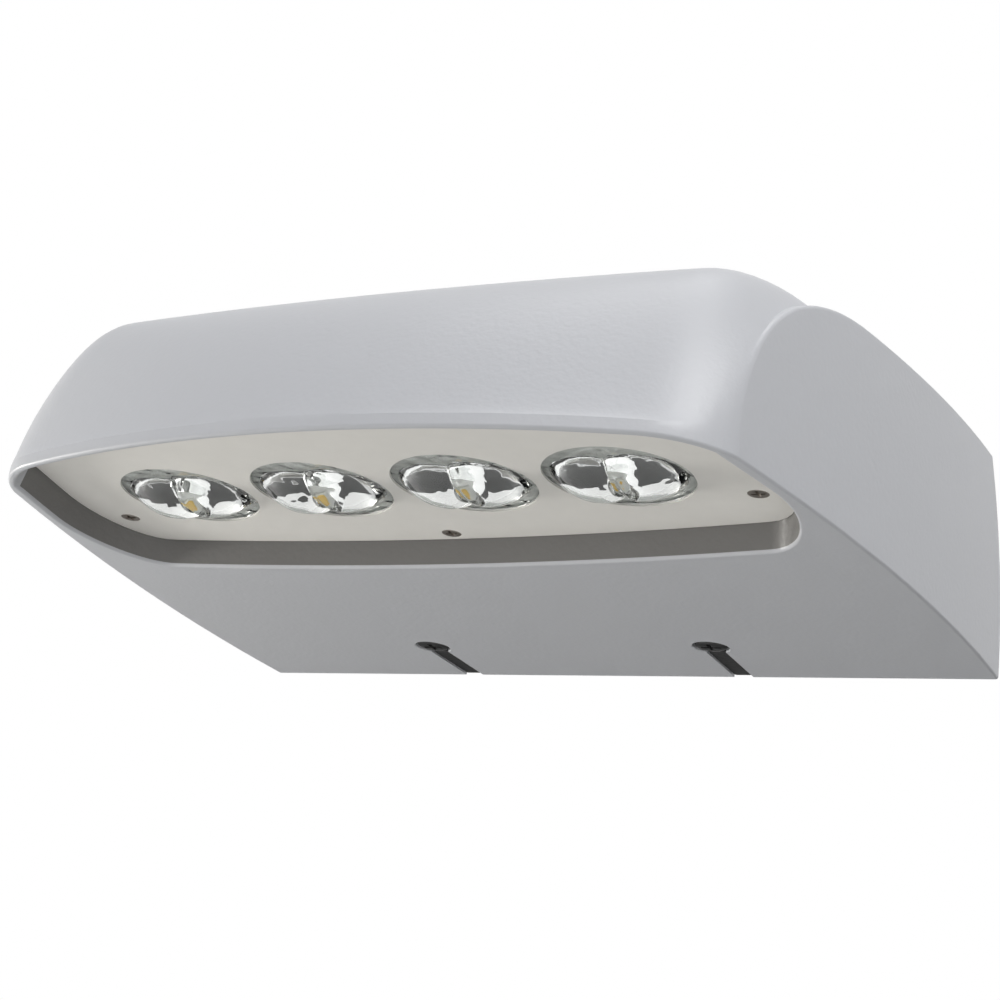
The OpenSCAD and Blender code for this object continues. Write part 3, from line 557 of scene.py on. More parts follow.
class Shape:
    """Law of the cast housing, in metres from the base upwards."""

    def __init__(self, sizes, bay):
        self.h, self.b = sizes, bay
        self.half_w = sizes.width / 2
        self.corner_at = self.half_w - sizes.corner_in
        self.corner_y = self.arc_centre() - math.sqrt(
            (sizes.front_r - sizes.corner_r) ** 2 - self.corner_at ** 2)
        x = self.corner_at + 0.9 * sizes.corner_r
        for _ in range(CREASE_TRIES):
            x = self.side_x(self.corner_front(x))
        self.crease_x = x
        self.crease_turn = self.front_y(x) - self.arc_front(x)

    def arc_centre(self):
        return self.h.front_r - self.h.reach

    def side_x(self, y, z=0.0):
        """Bowed side: half the width at a distance y from the wall and a height z."""
        return self.half_w - y * y / (2 * self.h.side_r) - z * z / (2 * self.h.barrel_r)

    def corner_start(self, inset):
        return self.corner_at * (self.h.front_r - inset) / (self.h.front_r - self.h.corner_r)

    def arc_front(self, x, inset=0.0):
        return self.arc_centre() - math.sqrt((self.h.front_r - inset) ** 2 - x * x)

    def corner_front(self, x, inset=0.0):
        left = (self.h.corner_r - inset) ** 2 - (x - self.corner_at) ** 2
        return self.corner_y - math.sqrt(max(left, 1e-8))

    def front_y(self, x):
        return self.arc_front(x) if x < self.corner_start(0) else self.corner_front(x)

    def section(self, distance, inset, back, low):
        """(y, z) points at a distance from the middle, from the foot over the nose to the wall."""
        h = self.h
        x = min(distance, self.crease_x)
        out = (x / self.crease_x) ** 2
        turn = (self.front_y(x) - self.arc_front(x)) / self.crease_turn

        def size(three):
            return three[0] + (three[1] - three[0]) * out + (three[2] - three[1]) * turn

        front, foot = self.front_y(x) + inset, size(h.foot)
        end_y = inset - h.reach + size(h.end)
        end = Vector((end_y, h.height - inset + size(h.swell) + h.top_fall * end_y))
        wall = Vector((back, h.height - inset + h.top_fall * back))
        curve = (Vector((front, foot)), Vector((front + size(h.lean), foot + size(h.rise) - inset)),
                 end - size(h.flat) * (wall - end).normalized(), end)
        return ([Vector((front, low)), Vector((front, (low + foot) / 2))]
                + [bend(curve, i / NOSE_STEPS) for i in range(NOSE_STEPS + 1)]
                + [end.lerp(wall, i / TOP_STEPS) for i in range(1, TOP_STEPS + 1)])

    def crease_points(self, inset, back, low):
        """Where each row over the nose and top meets the side."""
        points = []
        for j in range(NOSE_STEPS + TOP_STEPS + 3):
            x = self.crease_x - inset
            for _ in range(ROW_TRIES):
                y, z = self.section(x, inset, back, low)[j]
                x = self.side_x(y, z) - inset
            points.append(Vector((x, y, z)))
        return points

    def half_rows(self, inset, back, low, edge):
        """Rows of points of the right half: across the front or top, round the crease, down the side."""
        low_edge = low + edge
        tips = self.crease_points(inset, back, low_edge)
        run = [0.0]
        for a, b in zip(tips, tips[1:]):
            run.append(run[-1] + (b - a).length)
        first = 2 * self.h.crease
        steps = [1 - (1 - i / ACROSS_STEPS) ** CROWDING for i in range(ACROSS_STEPS + 1)]
        known, rows = {}, []
        for j, tip in enumerate(tips):
            reach = tip.x - self.h.crease
            inner = min(self.crease_x, reach)
            row = []
            for x in [w * inner for w in steps] + [inner + (reach - inner) * k / OUTER_STEPS
                                                   for k in range(1, OUTER_STEPS + 1)]:
                key = round(min(x, self.crease_x), 8)
                if key not in known:
                    known[key] = self.section(key, inset, back, low_edge)
                row.append(Vector((x, *known[key][j])))
            base_y = tips[0].y + first + (back - tips[0].y - first) * run[j] / run[-1]
            side = []
            gap = math.hypot(base_y - tip.y, tip.z - low_edge)
            start = min(self.h.crease / gap, 0.5)
            for k in range(SIDE_STEPS + 1):
                t = start + (1 - start) * k / SIDE_STEPS
                y, z = tip.y + (base_y - tip.y) * t, tip.z + (low_edge - tip.z) * t
                side.append(Vector((self.side_x(y, z) - inset, y, z)))
            rows.append(row + between_points(row[-1], tip, side[0]) + side)
        return rows

    def body(self, inset, back, low, edge):
        """Polygons of the closed body, with its crease and the edge round its base rounded."""
        rows = self.half_rows(inset, back, low, edge)
        loop = rows[0] + [row[-1] for row in rows[1:]]
        inward = []
        for i, point in enumerate(loop):
            before = next((p for p in loop[i::-1] if (p - point).length > SAME), point)
            after = next((p for p in loop[i:] if (p - point).length > SAME), point)
            along = (after - before).xy.normalized()
            inward.append(Vector((0, 1)) if i == 0 else Vector((-along.y, along.x)))
        inward[-1] = Vector((-1, 0))
        rings = [loop]
        for a in quarter(ROUND_STEPS)[1:] if edge else ():
            rings.append([Vector((*(p.xy + n * edge * (1 - math.cos(a))), low + edge * (1 - math.sin(a))))
                          for p, n in zip(loop, inward)])
        half = [*strips(rows, closed=False), *strips(rings, closed=False)]
        base = rings[-1]
        rear = rows[-1] + [ring[-1] for ring in rings[1:]]
        return half + [mirrored(p) for p in half] + [base + mirrored(base[1:]), rear + mirrored(rear[1:])]

    def bay_half(self, grow_by):
        """Half the outline of the bay, from the middle of its front to the middle of its back."""
        h, b = self.h, self.b
        inset = b.lip - grow_by
        start = self.corner_start(inset)
        first = math.atan2(self.arc_front(start, inset) - self.corner_y, start - self.corner_at)
        rear_y = b.back - h.reach + grow_by
        rear_end = Vector((b.back_half, rear_y - b.back_half ** 2 / (2 * b.back_r)))
        cheek = [Vector((self.side_x(y) - b.cheek + grow_by, y))
                 for y in (b.cheek_from - h.reach + (b.cheek_to - b.cheek_from) * i / 4 for i in range(5))]
        curve = (cheek[-1], cheek[-1] + CHEEK_PULL, rear_end + BACK_PULL, rear_end)
        points = [Vector((x, self.arc_front(x, inset)))
                  for x in (start * i / BAY_STEPS for i in range(BAY_STEPS + 1))]
        for i in range(1, BAY_STEPS - 1):
            a = first + (b.corner_stop - first) * i / (BAY_STEPS - 2)
            points.append(Vector((self.corner_at, self.corner_y))
                          + (h.corner_r - inset) * Vector((math.cos(a), math.sin(a))))
        points += cheek + [bend(curve, i / BAY_STEPS) for i in range(1, BAY_STEPS + 1)]
        for i in range(1, BAY_STEPS + 1):
            x = b.back_half * (1 - i / BAY_STEPS)
            points.append(Vector((x, rear_y - x * x / (2 * b.back_r))))
        return points

    def bay_ring(self, grow_by, z):
        half = [Vector((*p, z)) for p in self.bay_half(grow_by)]
        return half + mirrored(half)[1:-1]


def quarter(steps):
    """Angles from 0 to a right angle."""
    return [math.pi / 2 * k / steps for k in range(steps + 1)]


def bend(p, t):
    """Point on a curve of four points."""
    s = 1 - t
    return s ** 3 * p[0] + 3 * s * s * t * p[1] + 3 * s * t * t * p[2] + t ** 3 * p[3]


def between_points(a, corner, b):
    """Inner points of a rounding from a to b."""
    return [a * (1 - t) ** 2 + corner * 2 * t * (1 - t) + b * t * t
            for t in (i / ROUND_STEPS for i in range(1, ROUND_STEPS))]


def mirrored(points):
    """The points on the other side of the middle, in the other order."""
    return [Vector((-p[0], p[1], p[2])) for p in reversed(points)]


def lifted(polygons, height):
    """The polygons moved up."""
    return [[Vector((p[0], p[1], p[2] + height)) for p in polygon] for polygon in polygons]


def rim_levels(radius, depth, draft=0.0):
    """(grow, height) levels of a cut whose edge is rounded, and whose wall leans in towards its floor."""
    rounding = [(radius * (1 - math.sin(a)), radius * (1 - math.cos(a))) for a in quarter(ROUND_STEPS)]
    return [(radius, -MM), *rounding, (-draft, depth)]


def rounded_ring(centre, size, radius, z):
    """Ring of a flat rectangle with round corners."""
    ring = []
    for sx, sy, turn in ((1, 1, 0), (-1, 1, 1), (-1, -1, 2), (1, -1, 3)):
        for k in range(CORNER_STEPS + 1):
            a = math.pi / 2 * (turn + k / CORNER_STEPS)
            ring.append(Vector((centre[0] + sx * (size[0] / 2 - radius) + radius * math.cos(a),
                                centre[1] + sy * (size[1] / 2 - radius) + radius * math.sin(a), z)))
    return ring


class PieceOperator:
    """Base of the operators: what each one makes can be undone."""
    bl_options = {"REGISTER", "UNDO"}


class WALLPACK_OT_housing(PieceOperator, bpy.types.Operator):
    """Cast housing: bowed nose, creased sides, bay with a rounded rim, slots, ribs and bosses"""
    bl_idname = "wallpack.housing"
    bl_label = "Cast housing"

    # Tongues of the wall plate: gap to the slot, gap to the wall, and radius of their corners
    tongue_gap, tongue_rear, tongue_r = 0.5 * MM, 0.4 * MM, 1.2 * MM
    # Pads: half their width, and how far they reach in front of a screw and past the wall's face
    pad_half, pad_front, pad_rear = 13 * MM, 12 * MM, 2 * MM
    # Lugs: from the middle to each, half their width, and their front and rear
    lug_x, lug_half, lug_front, lug_rear = 45 * MM, 6 * MM, -9.7 * MM, -5 * MM
    # How far below the wall plate's top edge the lugs hook in, and the gap there
    lug_drop, lug_gap = 7 * MM, 0.3 * MM
    # Middles of the ribs, radius of the bosses, and how high the ground screw's boss reaches on its shank
    ribs, boss_r, ground_up = (-80 * MM, -40 * MM, 40 * MM, 80 * MM), 5 * MM, 5 * MM
    # Board's pocket: room in front, behind and at both ends together, and radius of its corners
    room_front, room_rear, room_ends, room_r = 3 * MM, 9 * MM, 8 * MM, 4 * MM
    # Node, radius and top of the screw holes, and radius of the lead hole
    screw_holes = (("optic_plate_screws", 1.75 * MM, 19.5 * MM), ("board_screws", 1.5 * MM, 18.5 * MM))
    lead_hole = 3.2 * MM
    # From the front of the housing to where the painted shade on the bay's walls starts
    painted_shade_start = 33 * MM

    def execute(self, context):
        scene = context.scene
        shape = Shape(scene.wp_housing, scene.wp_bay)
        piece = new_piece("housing_cast", lifted(shape.body(0, 0, 0, shape.h.edge), BASE_Z))
        cut(piece, self.hollow(shape))
        cut(piece, lifted(self.bay(shape), BASE_Z))
        cut(piece, lifted(self.board_pocket(shape), BASE_Z))
        cut(piece, lifted(self.slots(shape.b), BASE_Z), crossing=True)
        cut(piece, lifted(self.holes(shape.b), BASE_Z), crossing=True)
        smooth(piece)
        b, h = shape.b, shape.h
        # Painted shade: the bay's walls, between these depths and heights, are coloured darker in place of
        # the shade in the recess
        painted_shade_where = (scene.wp_finishes.bay, shape.half_w - b.cheek + b.rim, h.side_r, self.painted_shade_start - h.reach,
                  b.back - h.reach + b.rim, BASE_Z + 0.7 * b.rim, BASE_Z + b.roof)
        coat = powder_coat("silver_powder_coat", scene.wp_finishes.coat, painted_shade_where=painted_shade_where)
        finished(piece, coat, "housing_paint", "housing")
        self.tongues(b)
        return {"FINISHED"}

    def tongues(self, b):
        """Black tongues of the wall plate, pressed down into the two slots behind the screws: partly the
        plate's own black, partly painted shade that fills the slots.
        """
        wide, rear = b.slot_w - self.tongue_gap, -self.tongue_rear
        levels = ((0.5 * MM, 0.5 * MM), (0.15 * MM, 0.65 * MM), (0, MM), (0, b.pad - 0.1 * MM))
        polygons = []
        for c in self.middles("securing_screws"):
            front = c.y + b.slot_pocket / 2
            polygons += loft([rounded_ring((c.x, (front + rear) / 2), (wide - 2 * e, rear - front - 2 * e),
                                           self.tongue_r - e, BASE_Z + z) for e, z in levels])
        piece = new_piece("slot_tongues", polygons)
        smooth(piece, 40)
        # The wall plate's black, used here also as painted shade in the slots
        finished(piece, powder_coat("black_tongue_coat", bpy.context.scene.wp_finishes.black), "black_coat")

    def hollow(self, shape):
        """The space inside, less the ribs, pads, lugs and bosses that stand in it."""
        h, b = shape.h, shape.b
        space = new_piece("space", shape.body(h.wall, MM, h.wall, 0))
        top, rear = 2 * h.height, b.back - h.wall - h.reach
        parts = loft([shape.bay_ring(h.wall, z) for z in (0, b.roof)])
        for x in self.ribs:
            parts += block((x - b.rib / 2, -h.reach, 0), (x + b.rib / 2, rear, top))
        for c in self.middles("securing_screws"):
            parts += block((c.x - self.pad_half, c.y - self.pad_front, 0),
                           (c.x + self.pad_half, self.pad_rear, b.pad))
        lug_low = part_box("wall_plate")[1].z - BASE_Z - self.lug_drop + self.lug_gap
        for x in (-self.lug_x, self.lug_x):
            parts += block((x - self.lug_half, self.lug_front, lug_low),
                           (x + self.lug_half, self.lug_rear, top))
        for centre, low, high in self.bosses(top):
            parts += post(centre, self.boss_r, low, high)
        cut(space, parts, crossing=True)
        polygons = [[space.data.vertices[i].co + Vector((0, 0, BASE_Z)) for i in face.vertices]
                    for face in space.data.polygons]
        discard(space)
        return polygons

    def middles(self, node):
        return [middle(box) for box in solids(node)]

    def bosses(self, top):
        """(centre, low, high) of each boss."""
        case_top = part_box("driver_case")[1].z - BASE_Z
        block_low, ground_low = [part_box(node)[0].z - BASE_Z for node in ("terminal_block", "ground_screw")]
        return [*[(c, case_top, top) for c in self.middles("driver_screws")],
                (self.middles("terminal_block")[0], 0, block_low),
                (self.middles("ground_screw")[0], 0, ground_low + self.ground_up)]

    def bay(self, shape):
        b = shape.b
        levels = rim_levels(b.rim, b.plate, b.draft) + [(-b.draft, b.ledge)]
        return loft([shape.bay_ring(g, z) for g, z in levels])

    def board_pocket(self, shape):
        low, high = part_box("led_board")
        front, rear = low.y - self.room_front, high.y + self.room_rear
        size = (high.x - low.x + self.room_ends, rear - front)
        return loft([rounded_ring((0, (front + rear) / 2), size, self.room_r, z)
                     for z in (shape.b.ledge - MM, shape.b.pocket)])

    def slots(self, b):
        """Open slots with a round pocket for each securing screw."""
        half, low, high, made = b.slot_w / 2, -MM, b.pad + MM, []
        rim = [(b.slot_pocket / 2 + g, z) for g, z in rim_levels(b.slot_rim, b.slot_depth)]
        for c in self.middles("securing_screws"):
            made += block((c.x - half, c.y, low), (c.x + half, MM, high))
            made += post(c, half, low, high, 48)
            made += turned([(0, -MM), *rim, (0, b.slot_depth)], 48, c.x, c.y)
        return made

    def holes(self, b):
        """Screw holes of the optic plate and the board, and the lead hole."""
        made = post(self.middles("lead_grommet")[0], self.lead_hole, b.plate, b.roof + MM)
        for node, radius, top in self.screw_holes:
            for c in self.middles(node):
                made += post(c, radius, b.plate, top, 24)
        return made


class WALLPACK_OT_lenses(PieceOperator, bpy.types.Operator):
    """Row of clear lenses, each with two lobes over its diode"""
    bl_idname = "wallpack.lenses"
    bl_label = "Lenses"

    # Corners of each ring of the lens, and rings across its face
    sides, rounds = 128, 44

    def execute(self, context):
        sizes = context.scene.wp_lens
        boxes = [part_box(name) for name in LENSES]
        centres = [middle(box) for box in boxes]
        material = clear("clear_acrylic", context.scene.wp_finishes.acrylic)
        piece = link("lens_row", self.blank(sizes, boxes[0], centres[0]))
        grow(piece, self.tree(), LobeRadius=sizes.lobe_r, LobeHeight=sizes.lobe_h, LobePlace=sizes.lobe_x,
             Blend=sizes.blend, Groove=sizes.groove, GrooveWidth=sizes.groove_w, Count=len(boxes),
             Pitch=centres[1].x - centres[0].x, First=centres[0], Material=material)
        smooth(piece, 40)
        finished(piece, material, "clear_acrylic", *LENSES)
        return {"FINISHED"}

    def blank(self, sizes, box, centre):
        """One lens with a flat face, about its own centre: flange, body, and the hollow over the diode."""
        low, high = box
        flange_r = (high.x - low.x) / 2
        diode = middle(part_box(DIODES[0])) - centre
        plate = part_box("optic_plate")[0].z
        face = plate + sizes.step - centre.z
        flange = plate + sizes.plate_t + sizes.clear - centre.z
        back = high.z - sizes.clear - centre.z
        sides, r = self.sides, sizes.hollow_r
        edge, mouth = circle(flange_r, back, sides), circle(r, back, sides, y=diode.y)
        rings = [circle(sizes.body_r * k / self.rounds, face, sides) for k in range(self.rounds + 1)]
        rings += [circle(sizes.body_r, flange, sides), circle(flange_r, flange, sides), edge]
        rings += [[a.lerp(b, k) for a, b in zip(edge, mouth)] for k in (0.25, 0.5, 0.75)]
        rings.append(mouth)
        rings += [circle(r * math.cos(a), flange - r * math.sin(a), sides, y=diode.y) for a in quarter(12)]
        mesh = weld("lens_row", list(strips(rings)))
        level = mesh.attributes.new("dome", "FLOAT", "POINT")
        for vertex in mesh.vertices:
            on_face = abs(vertex.co.z - face) < SAME and vertex.co.xy.length < sizes.body_r - SAME
            over_diode = (vertex.co.xy - Vector((0, diode.y))).length < sizes.hollow_r - SAME
            level.data[vertex.index].value = float(on_face and not (over_diode and vertex.co.z > face + SAME))
        return mesh

    def tree(self):
        """Raises two lobes on each lens's face, with a groove between, and repeats it along the row."""
        t = Tree("lens_row", LobeRadius="Float", LobeHeight="Float", LobePlace="Float", Blend="Float",
                 Groove="Float", GrooveWidth="Float", Count="Int", Pitch="Float", First="Vector",
                 Material="Material")
        g, calc = t.given, t.calc
        at = t.add("ShaderNodeSeparateXYZ", {0: t.add("GeometryNodeInputPosition").outputs[0]}).outputs
        squares = calc("ADD", calc("POWER", g["LobeRadius"], 2), calc("POWER", g["LobeHeight"], 2))
        ball = calc("DIVIDE", squares, calc("MULTIPLY", g["LobeHeight"], 2))
        lobes = []
        for side in ("ADD", "SUBTRACT"):
            x2 = calc("POWER", calc(side, at["X"], g["LobePlace"]), 2)
            left = calc("SUBTRACT", calc("POWER", ball, 2), calc("ADD", x2, calc("POWER", at["Y"], 2)))
            top = calc("SQRT", calc("MAXIMUM", left, 0))
            lobes.append(calc("SUBTRACT", top, calc("SUBTRACT", ball, g["LobeHeight"])))
        across = calc("POWER", calc("DIVIDE", at["X"], g["GrooveWidth"]), 2)
        near = calc("MAXIMUM", calc("SUBTRACT", 1, across), 0)
        groove = calc("MULTIPLY", g["Groove"], calc("POWER", near, 2))
        height = calc("SMOOTH_MAX", calc("SUBTRACT", calc("MAXIMUM", *lobes), groove), 0, g["Blend"])
        dome = t.add("GeometryNodeInputNamedAttribute", {"Name": "dome"}, data_type="FLOAT")
        down = calc("MULTIPLY", calc("MULTIPLY", height, dome.outputs["Attribute"]), -1)
        offset = t.add("ShaderNodeCombineXYZ", {"Z": down}).outputs[0]
        lens = t.add("GeometryNodeSetPosition", {"Geometry": g["Geometry"], "Offset": offset}).outputs[0]
        step = t.add("ShaderNodeCombineXYZ", {"X": g["Pitch"]}).outputs[0]
        row = t.add("GeometryNodeMeshLine", {
            "Count": g["Count"], "Start Location": g["First"], "Offset": step},
            mode="OFFSET", count_mode="TOTAL").outputs[0]
        return t.end(t.repeat(row, lens), g["Material"])


def placing_tree():
    """Repeats a template object at the points of a mesh."""
    t = Tree("at_each_place", Template="Object", Turn="Rotation", Material="Material")
    g = t.given
    shape = t.add("GeometryNodeObjectInfo", {"Object": g["Template"]}).outputs["Geometry"]
    return t.end(t.repeat(g["Geometry"], shape, g["Turn"]), g["Material"])


def place_all(name, template, places, material, slot, nodes=(), turn=(0, 0, 0), degrees=30):
    """One piece with the template at each place; the template is used up."""
    piece = strung(name, places)
    tree = bpy.data.node_groups.get("at_each_place") or placing_tree()
    grow(piece, tree, Template=template, Turn=turn, Material=material)
    discard(template)
    smooth(piece, degrees)
    finished(piece, material, slot, *nodes)


class WALLPACK_OT_diodes(PieceOperator, bpy.types.Operator):
    """Diodes: a square ceramic base with a cushion of yellow phosphor"""
    bl_idname = "wallpack.diodes"
    bl_label = "Diodes"

    # Share of a diode's height that is its base, share of its width that is phosphor, and thin gap behind it
    base_share, phosphor_share, gap = 0.62, 0.8, 0.03 * MM

    def execute(self, context):
        boxes = [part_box(name) for name in DIODES]
        side = boxes[0][1].x - boxes[0][0].x
        height = boxes[0][1].z - boxes[0][0].z
        base_h = self.base_share * height
        places = [over_middle(box, box[1].z - self.gap) for box in boxes]
        base = self.cushion(side, 0.5, ((0, 0), (0, base_h - 0.12 * MM), (0.12, base_h)))
        place_all("diode_bases", base, places,
                  moulded("diode_ceramic", (0.80, 0.79, 0.74), 0.35), "board_white", DIODES)
        wide = self.phosphor_share * side
        levels = ((0, base_h - self.gap), (0, base_h + 0.15 * MM), (0.25, height - 0.08 * MM),
                  (0.8, height - 0.02 * MM), (1.8, height))
        yellow = moulded("phosphor", context.scene.wp_finishes.phosphor, 0.4, 0.2, 0.02)
        place_all("diode_phosphor", self.cushion(wide, 0.9, levels), places, yellow, "phosphor", degrees=50)
        return {"FINISHED"}

    def cushion(self, wide, round_mm, levels):
        """Square body with round corners from (inset in millimetres, depth) levels, facing down."""
        rings = []
        for inset, z in levels:
            size = wide - 2 * inset * MM
            rings.append(rounded_ring((0, 0), (size, size), min(round_mm, wide / 2 / MM - inset) * MM, -z))
        return new_piece("template", loft(rings))


def cross_recess(width, depth):
    """Tapered cross that a screwdriver fits, to be cut into a head that faces down."""
    arm, thin = width / 2, width / 9
    corners = [(thin, arm), (-thin, arm), (-thin, thin), (-arm, thin), (-arm, -thin), (-thin, -thin),
               (-thin, -arm), (thin, -arm), (thin, -thin), (arm, -thin), (arm, thin), (thin, thin)]
    levels = ((-0.5 * MM, 1.12), (0.25 * depth, 1), (0.8 * depth, 0.66), (depth, 0.45))
    return loft([[Vector((x * scale, y * scale, z)) for x, y in corners] for z, scale in levels])


def screw_profile(head_r, head_h, shank_r, length_all, flush):
    """(radius, height) points of a screw that points up, with thread ridges."""
    soft = min(0.25 * head_h, 0.35 * MM)
    if flush:
        head = [(head_r - 0.2 * MM, 0), (head_r, 0.12 * MM), (head_r, 0.25 * MM)]
    else:
        head = [(0.62 * head_r, 0), (0.86 * head_r, 0.4 * soft), (head_r - 0.3 * soft, 1.4 * soft),
                (head_r, 2.4 * soft), (head_r, head_h)]
    root_r, pitch = 0.86 * shank_r, max(0.3 * shank_r, 0.4 * MM)
    points, z = [(0, 0), *head, (shank_r, head_h)], head_h + pitch
    while z + 1.5 * pitch < length_all:
        points += [(root_r, z), (shank_r, z + pitch / 2)]
        z += pitch
    return points + [(root_r, length_all - pitch), (0.6 * shank_r, length_all), (0, length_all)]


class WALLPACK_OT_screws(PieceOperator, bpy.types.Operator):
    """All screws, each with its head, thread and cross recess, and the two nuts"""
    bl_idname = "wallpack.screws"
    bl_label = "Screws and nuts"

    def execute(self, context):
        tone = context.scene.wp_finishes
        dull = metal("dull_steel", tone.steel, 0.38)
        bright = metal("bright_steel", (0.62, 0.62, 0.63), 0.3)
        zinc = metal("zinc_plate", (0.66, 0.67, 0.70), 0.34)
        black = powder_coat("black_oxide", tone.black, 0.36)
        green = metal("green_zinc", (0.10, 0.36, 0.13), 0.36)
        # Node, finish, slot, head height, shank radius, recess width, recess depth, flush, points down
        kinds = (
            ("optic_plate_screws", dull, "stainless", 1.5, 1.7, 4.2, 1.5, True, False),
            ("securing_screws", black, "black_steel", 3.0, 3.0, 7.0, 2.2, False, False),
            ("board_screws", bright, "stainless", 1.6, 1.45, 3.2, 1.2, False, False),
            ("driver_screws", zinc, "zinc_steel", 2.4, 1.95, 4.4, 1.6, False, False),
            ("terminal_screw", zinc, "zinc_steel", 2.0, 1.45, 3.4, 1.3, False, True),
            ("ground_screw", green, "green_steel", 2.4, 1.95, 4.8, 1.6, False, True))
        for node, material, slot, head_h, shank_r, recess, depth, flush, down in kinds:
            boxes = solids(node)
            low, high = boxes[0]
            profile = screw_profile((high.x - low.x) / 2, head_h * MM, shank_r * MM, high.z - low.z, flush)
            template = new_piece("template", turned(profile, 40))
            cut(template, cross_recess(recess * MM, depth * MM))
            places = [over_middle(box, box[1 if down else 0].z) for box in boxes]
            turn = (math.pi if down else 0, 0, 0)
            place_all(node + "_turned", template, places, material, slot, (node,), turn)
        self.nuts(zinc)
        return {"FINISHED"}

    def nuts(self, material):
        """Hexagon nuts with chamfered corners."""
        boxes = solids("flange_nuts")
        low, high = boxes[0]
        corner_r, tall = (high.x - low.x) / 2, high.z - low.z
        template = new_piece("template", loft([circle(corner_r, z, 6) for z in (0, tall)]))
        round_r, flat_r, soft = 1.001 * corner_r, 0.88 * corner_r, 0.9 * MM
        barrel = [(0, 0), (flat_r, 0), (round_r, soft), (round_r, tall - soft), (flat_r, tall), (0, tall)]
        cut(template, turned(barrel, 48), operation="INTERSECT")
        bore, wide, soft = 3.05 * MM, 1.2 * 3.05 * MM, 0.6 * MM
        cut(template, turned([(0, -MM), (wide, -MM), (wide, 0), (bore, soft), (bore, tall - soft),
                              (wide, tall), (wide, tall + MM), (0, tall + MM)], 32))
        places = [over_middle(box, box[0].z) for box in boxes]
        place_all("hexagon_nuts", template, places, material, "zinc_steel", ("flange_nuts",))


class WALLPACK_OT_leads(PieceOperator, bpy.types.Operator):
    """Round insulated leads, along the routes of the plain ones"""
    bl_idname = "wallpack.leads"
    bl_label = "Leads"

    # Points of the two routes, in millimetres from the base, and which way the pair stands apart at each
    led_route = ((98.5, -152.4, 11.75), (98.5, -150, 11.75), (98.5, -146.5, 12.95), (98.5, -146.5, 34),
                 (92, -118, 44), (80, -87, 51), (60, -87, 51))
    led_apart = ((1, 0, 0), (1, 0, 0), (1, 0, 0), (0.91, 0.42, 0), (0.91, 0.42, 0), (0.69, 1, 0), (0, 1, 0))
    supply_route = ((-60, -87, 51), (-76, -87, 51), (-92, -84, 38), (-94.5, -79, 30), (-94.5, -79, 20.5))
    supply_apart = ((0, 1, 0),) * 5
    # Half the distance between the two leads of a pair, and the radius of a lead, in millimetres
    spacing, radius = 0.95, 0.75
    # Node, route, apart, side of the pair, colour and slot
    leads = (
        ("led_lead_red", led_route, led_apart, 1, (0.50, 0.03, 0.02), "lead_red"),
        ("led_lead_black", led_route, led_apart, -1, (0.02, 0.02, 0.02), "lead_black"),
        ("supply_lead_live", supply_route, supply_apart, 1, (0.19, 0.08, 0.03), "lead_brown"),
        ("supply_lead_neutral", supply_route, supply_apart, -1, (0.03, 0.10, 0.38), "lead_blue"))

    def execute(self, context):
        tree = self.tree()
        for node, route, apart, side, tone, slot in self.leads:
            points = [(Vector(p) + side * self.spacing * Vector(a)) * MM + Vector((0, 0, BASE_Z))
                      for p, a in zip(route, apart)]
            for _ in range(3):
                points = rounded_route(points)
            piece = strung(node + "_round", points, [(i, i + 1) for i in range(len(points) - 1)])
            material = moulded(slot + "_insulation", tone, 0.4, 0.4, 0.004)
            grow(piece, tree, Radius=self.radius * MM, Material=material)
            smooth(piece, 40)
            finished(piece, material, slot, node)
        return {"FINISHED"}

    def tree(self):
        """Sweeps a round section along a path of edges."""
        t = Tree("round_lead", Radius="Float", Material="Material")
        g = t.given
        path = t.add("GeometryNodeMeshToCurve", {"Mesh": g["Geometry"]}).outputs[0]
        ring = t.add("GeometryNodeCurvePrimitiveCircle", {"Resolution": 16, "Radius": g["Radius"]}).outputs[0]
        tube = t.add("GeometryNodeCurveToMesh", {"Curve": path, "Profile Curve": ring, "Fill Caps": True})
        return t.end(tube.outputs[0], g["Material"])


def rounded_route(route):
    """The route with each inner corner cut at a quarter of its sides."""
    made = [route[0]]
    for before, point, after in zip(route, route[1:], route[2:]):
        made += [point.lerp(before, 0.25), point.lerp(after, 0.25)]
    return made + [route[-1]]


class WALLPACK_OT_finishes(PieceOperator, bpy.types.Operator):
    """Finishes of the parts that keep their own shape"""
    bl_idname = "wallpack.finishes"
    bl_label = "Finishes"

    def execute(self, context):
        tone = context.scene.wp_finishes
        nylon = moulded("white_nylon", (0.78, 0.78, 0.74), 0.42)
        finishes = {
            "wall_plate": powder_coat("black_powder_coat", tone.black, 0.4),
            "wall_gasket": cellular("black_foam", (0.05, 0.05, 0.05)),
            "wire_bushing": nylon,
            "board_connector": nylon,
            "terminal_block": nylon,
            "optic_plate": moulded("warm_white_plate", tone.plate, 0.34, 0.9, 0.006),
            "bay_gasket": moulded("grey_silicone", (0.20, 0.20, 0.20), 0.6, 0.7, 0.02),
            "led_board": moulded("white_solder_mask", (0.78, 0.78, 0.76), 0.3, 0.4, 0.006),
            "thermal_pad": moulded("grey_thermal_pad", (0.28, 0.31, 0.36), 0.75, 0.5, 0.03),
            "lead_grommet": moulded("black_rubber", (0.02, 0.02, 0.02), 0.6, 0.5, 0.01),
            "driver_case": metal("drawn_aluminium", (0.70, 0.71, 0.72), 0.36, (0.08, 1, 1)),
            "driver_potting": moulded("black_resin", (0.03, 0.03, 0.035), 0.28, 2.0, 0.05)}
        for node, material in finishes.items():
            slots = NODES[node].material_slots
            if not slots:
                raise RuntimeError("%s has no material slot" % node)
            for place in slots:
                place.material = material
        return {"FINISHED"}


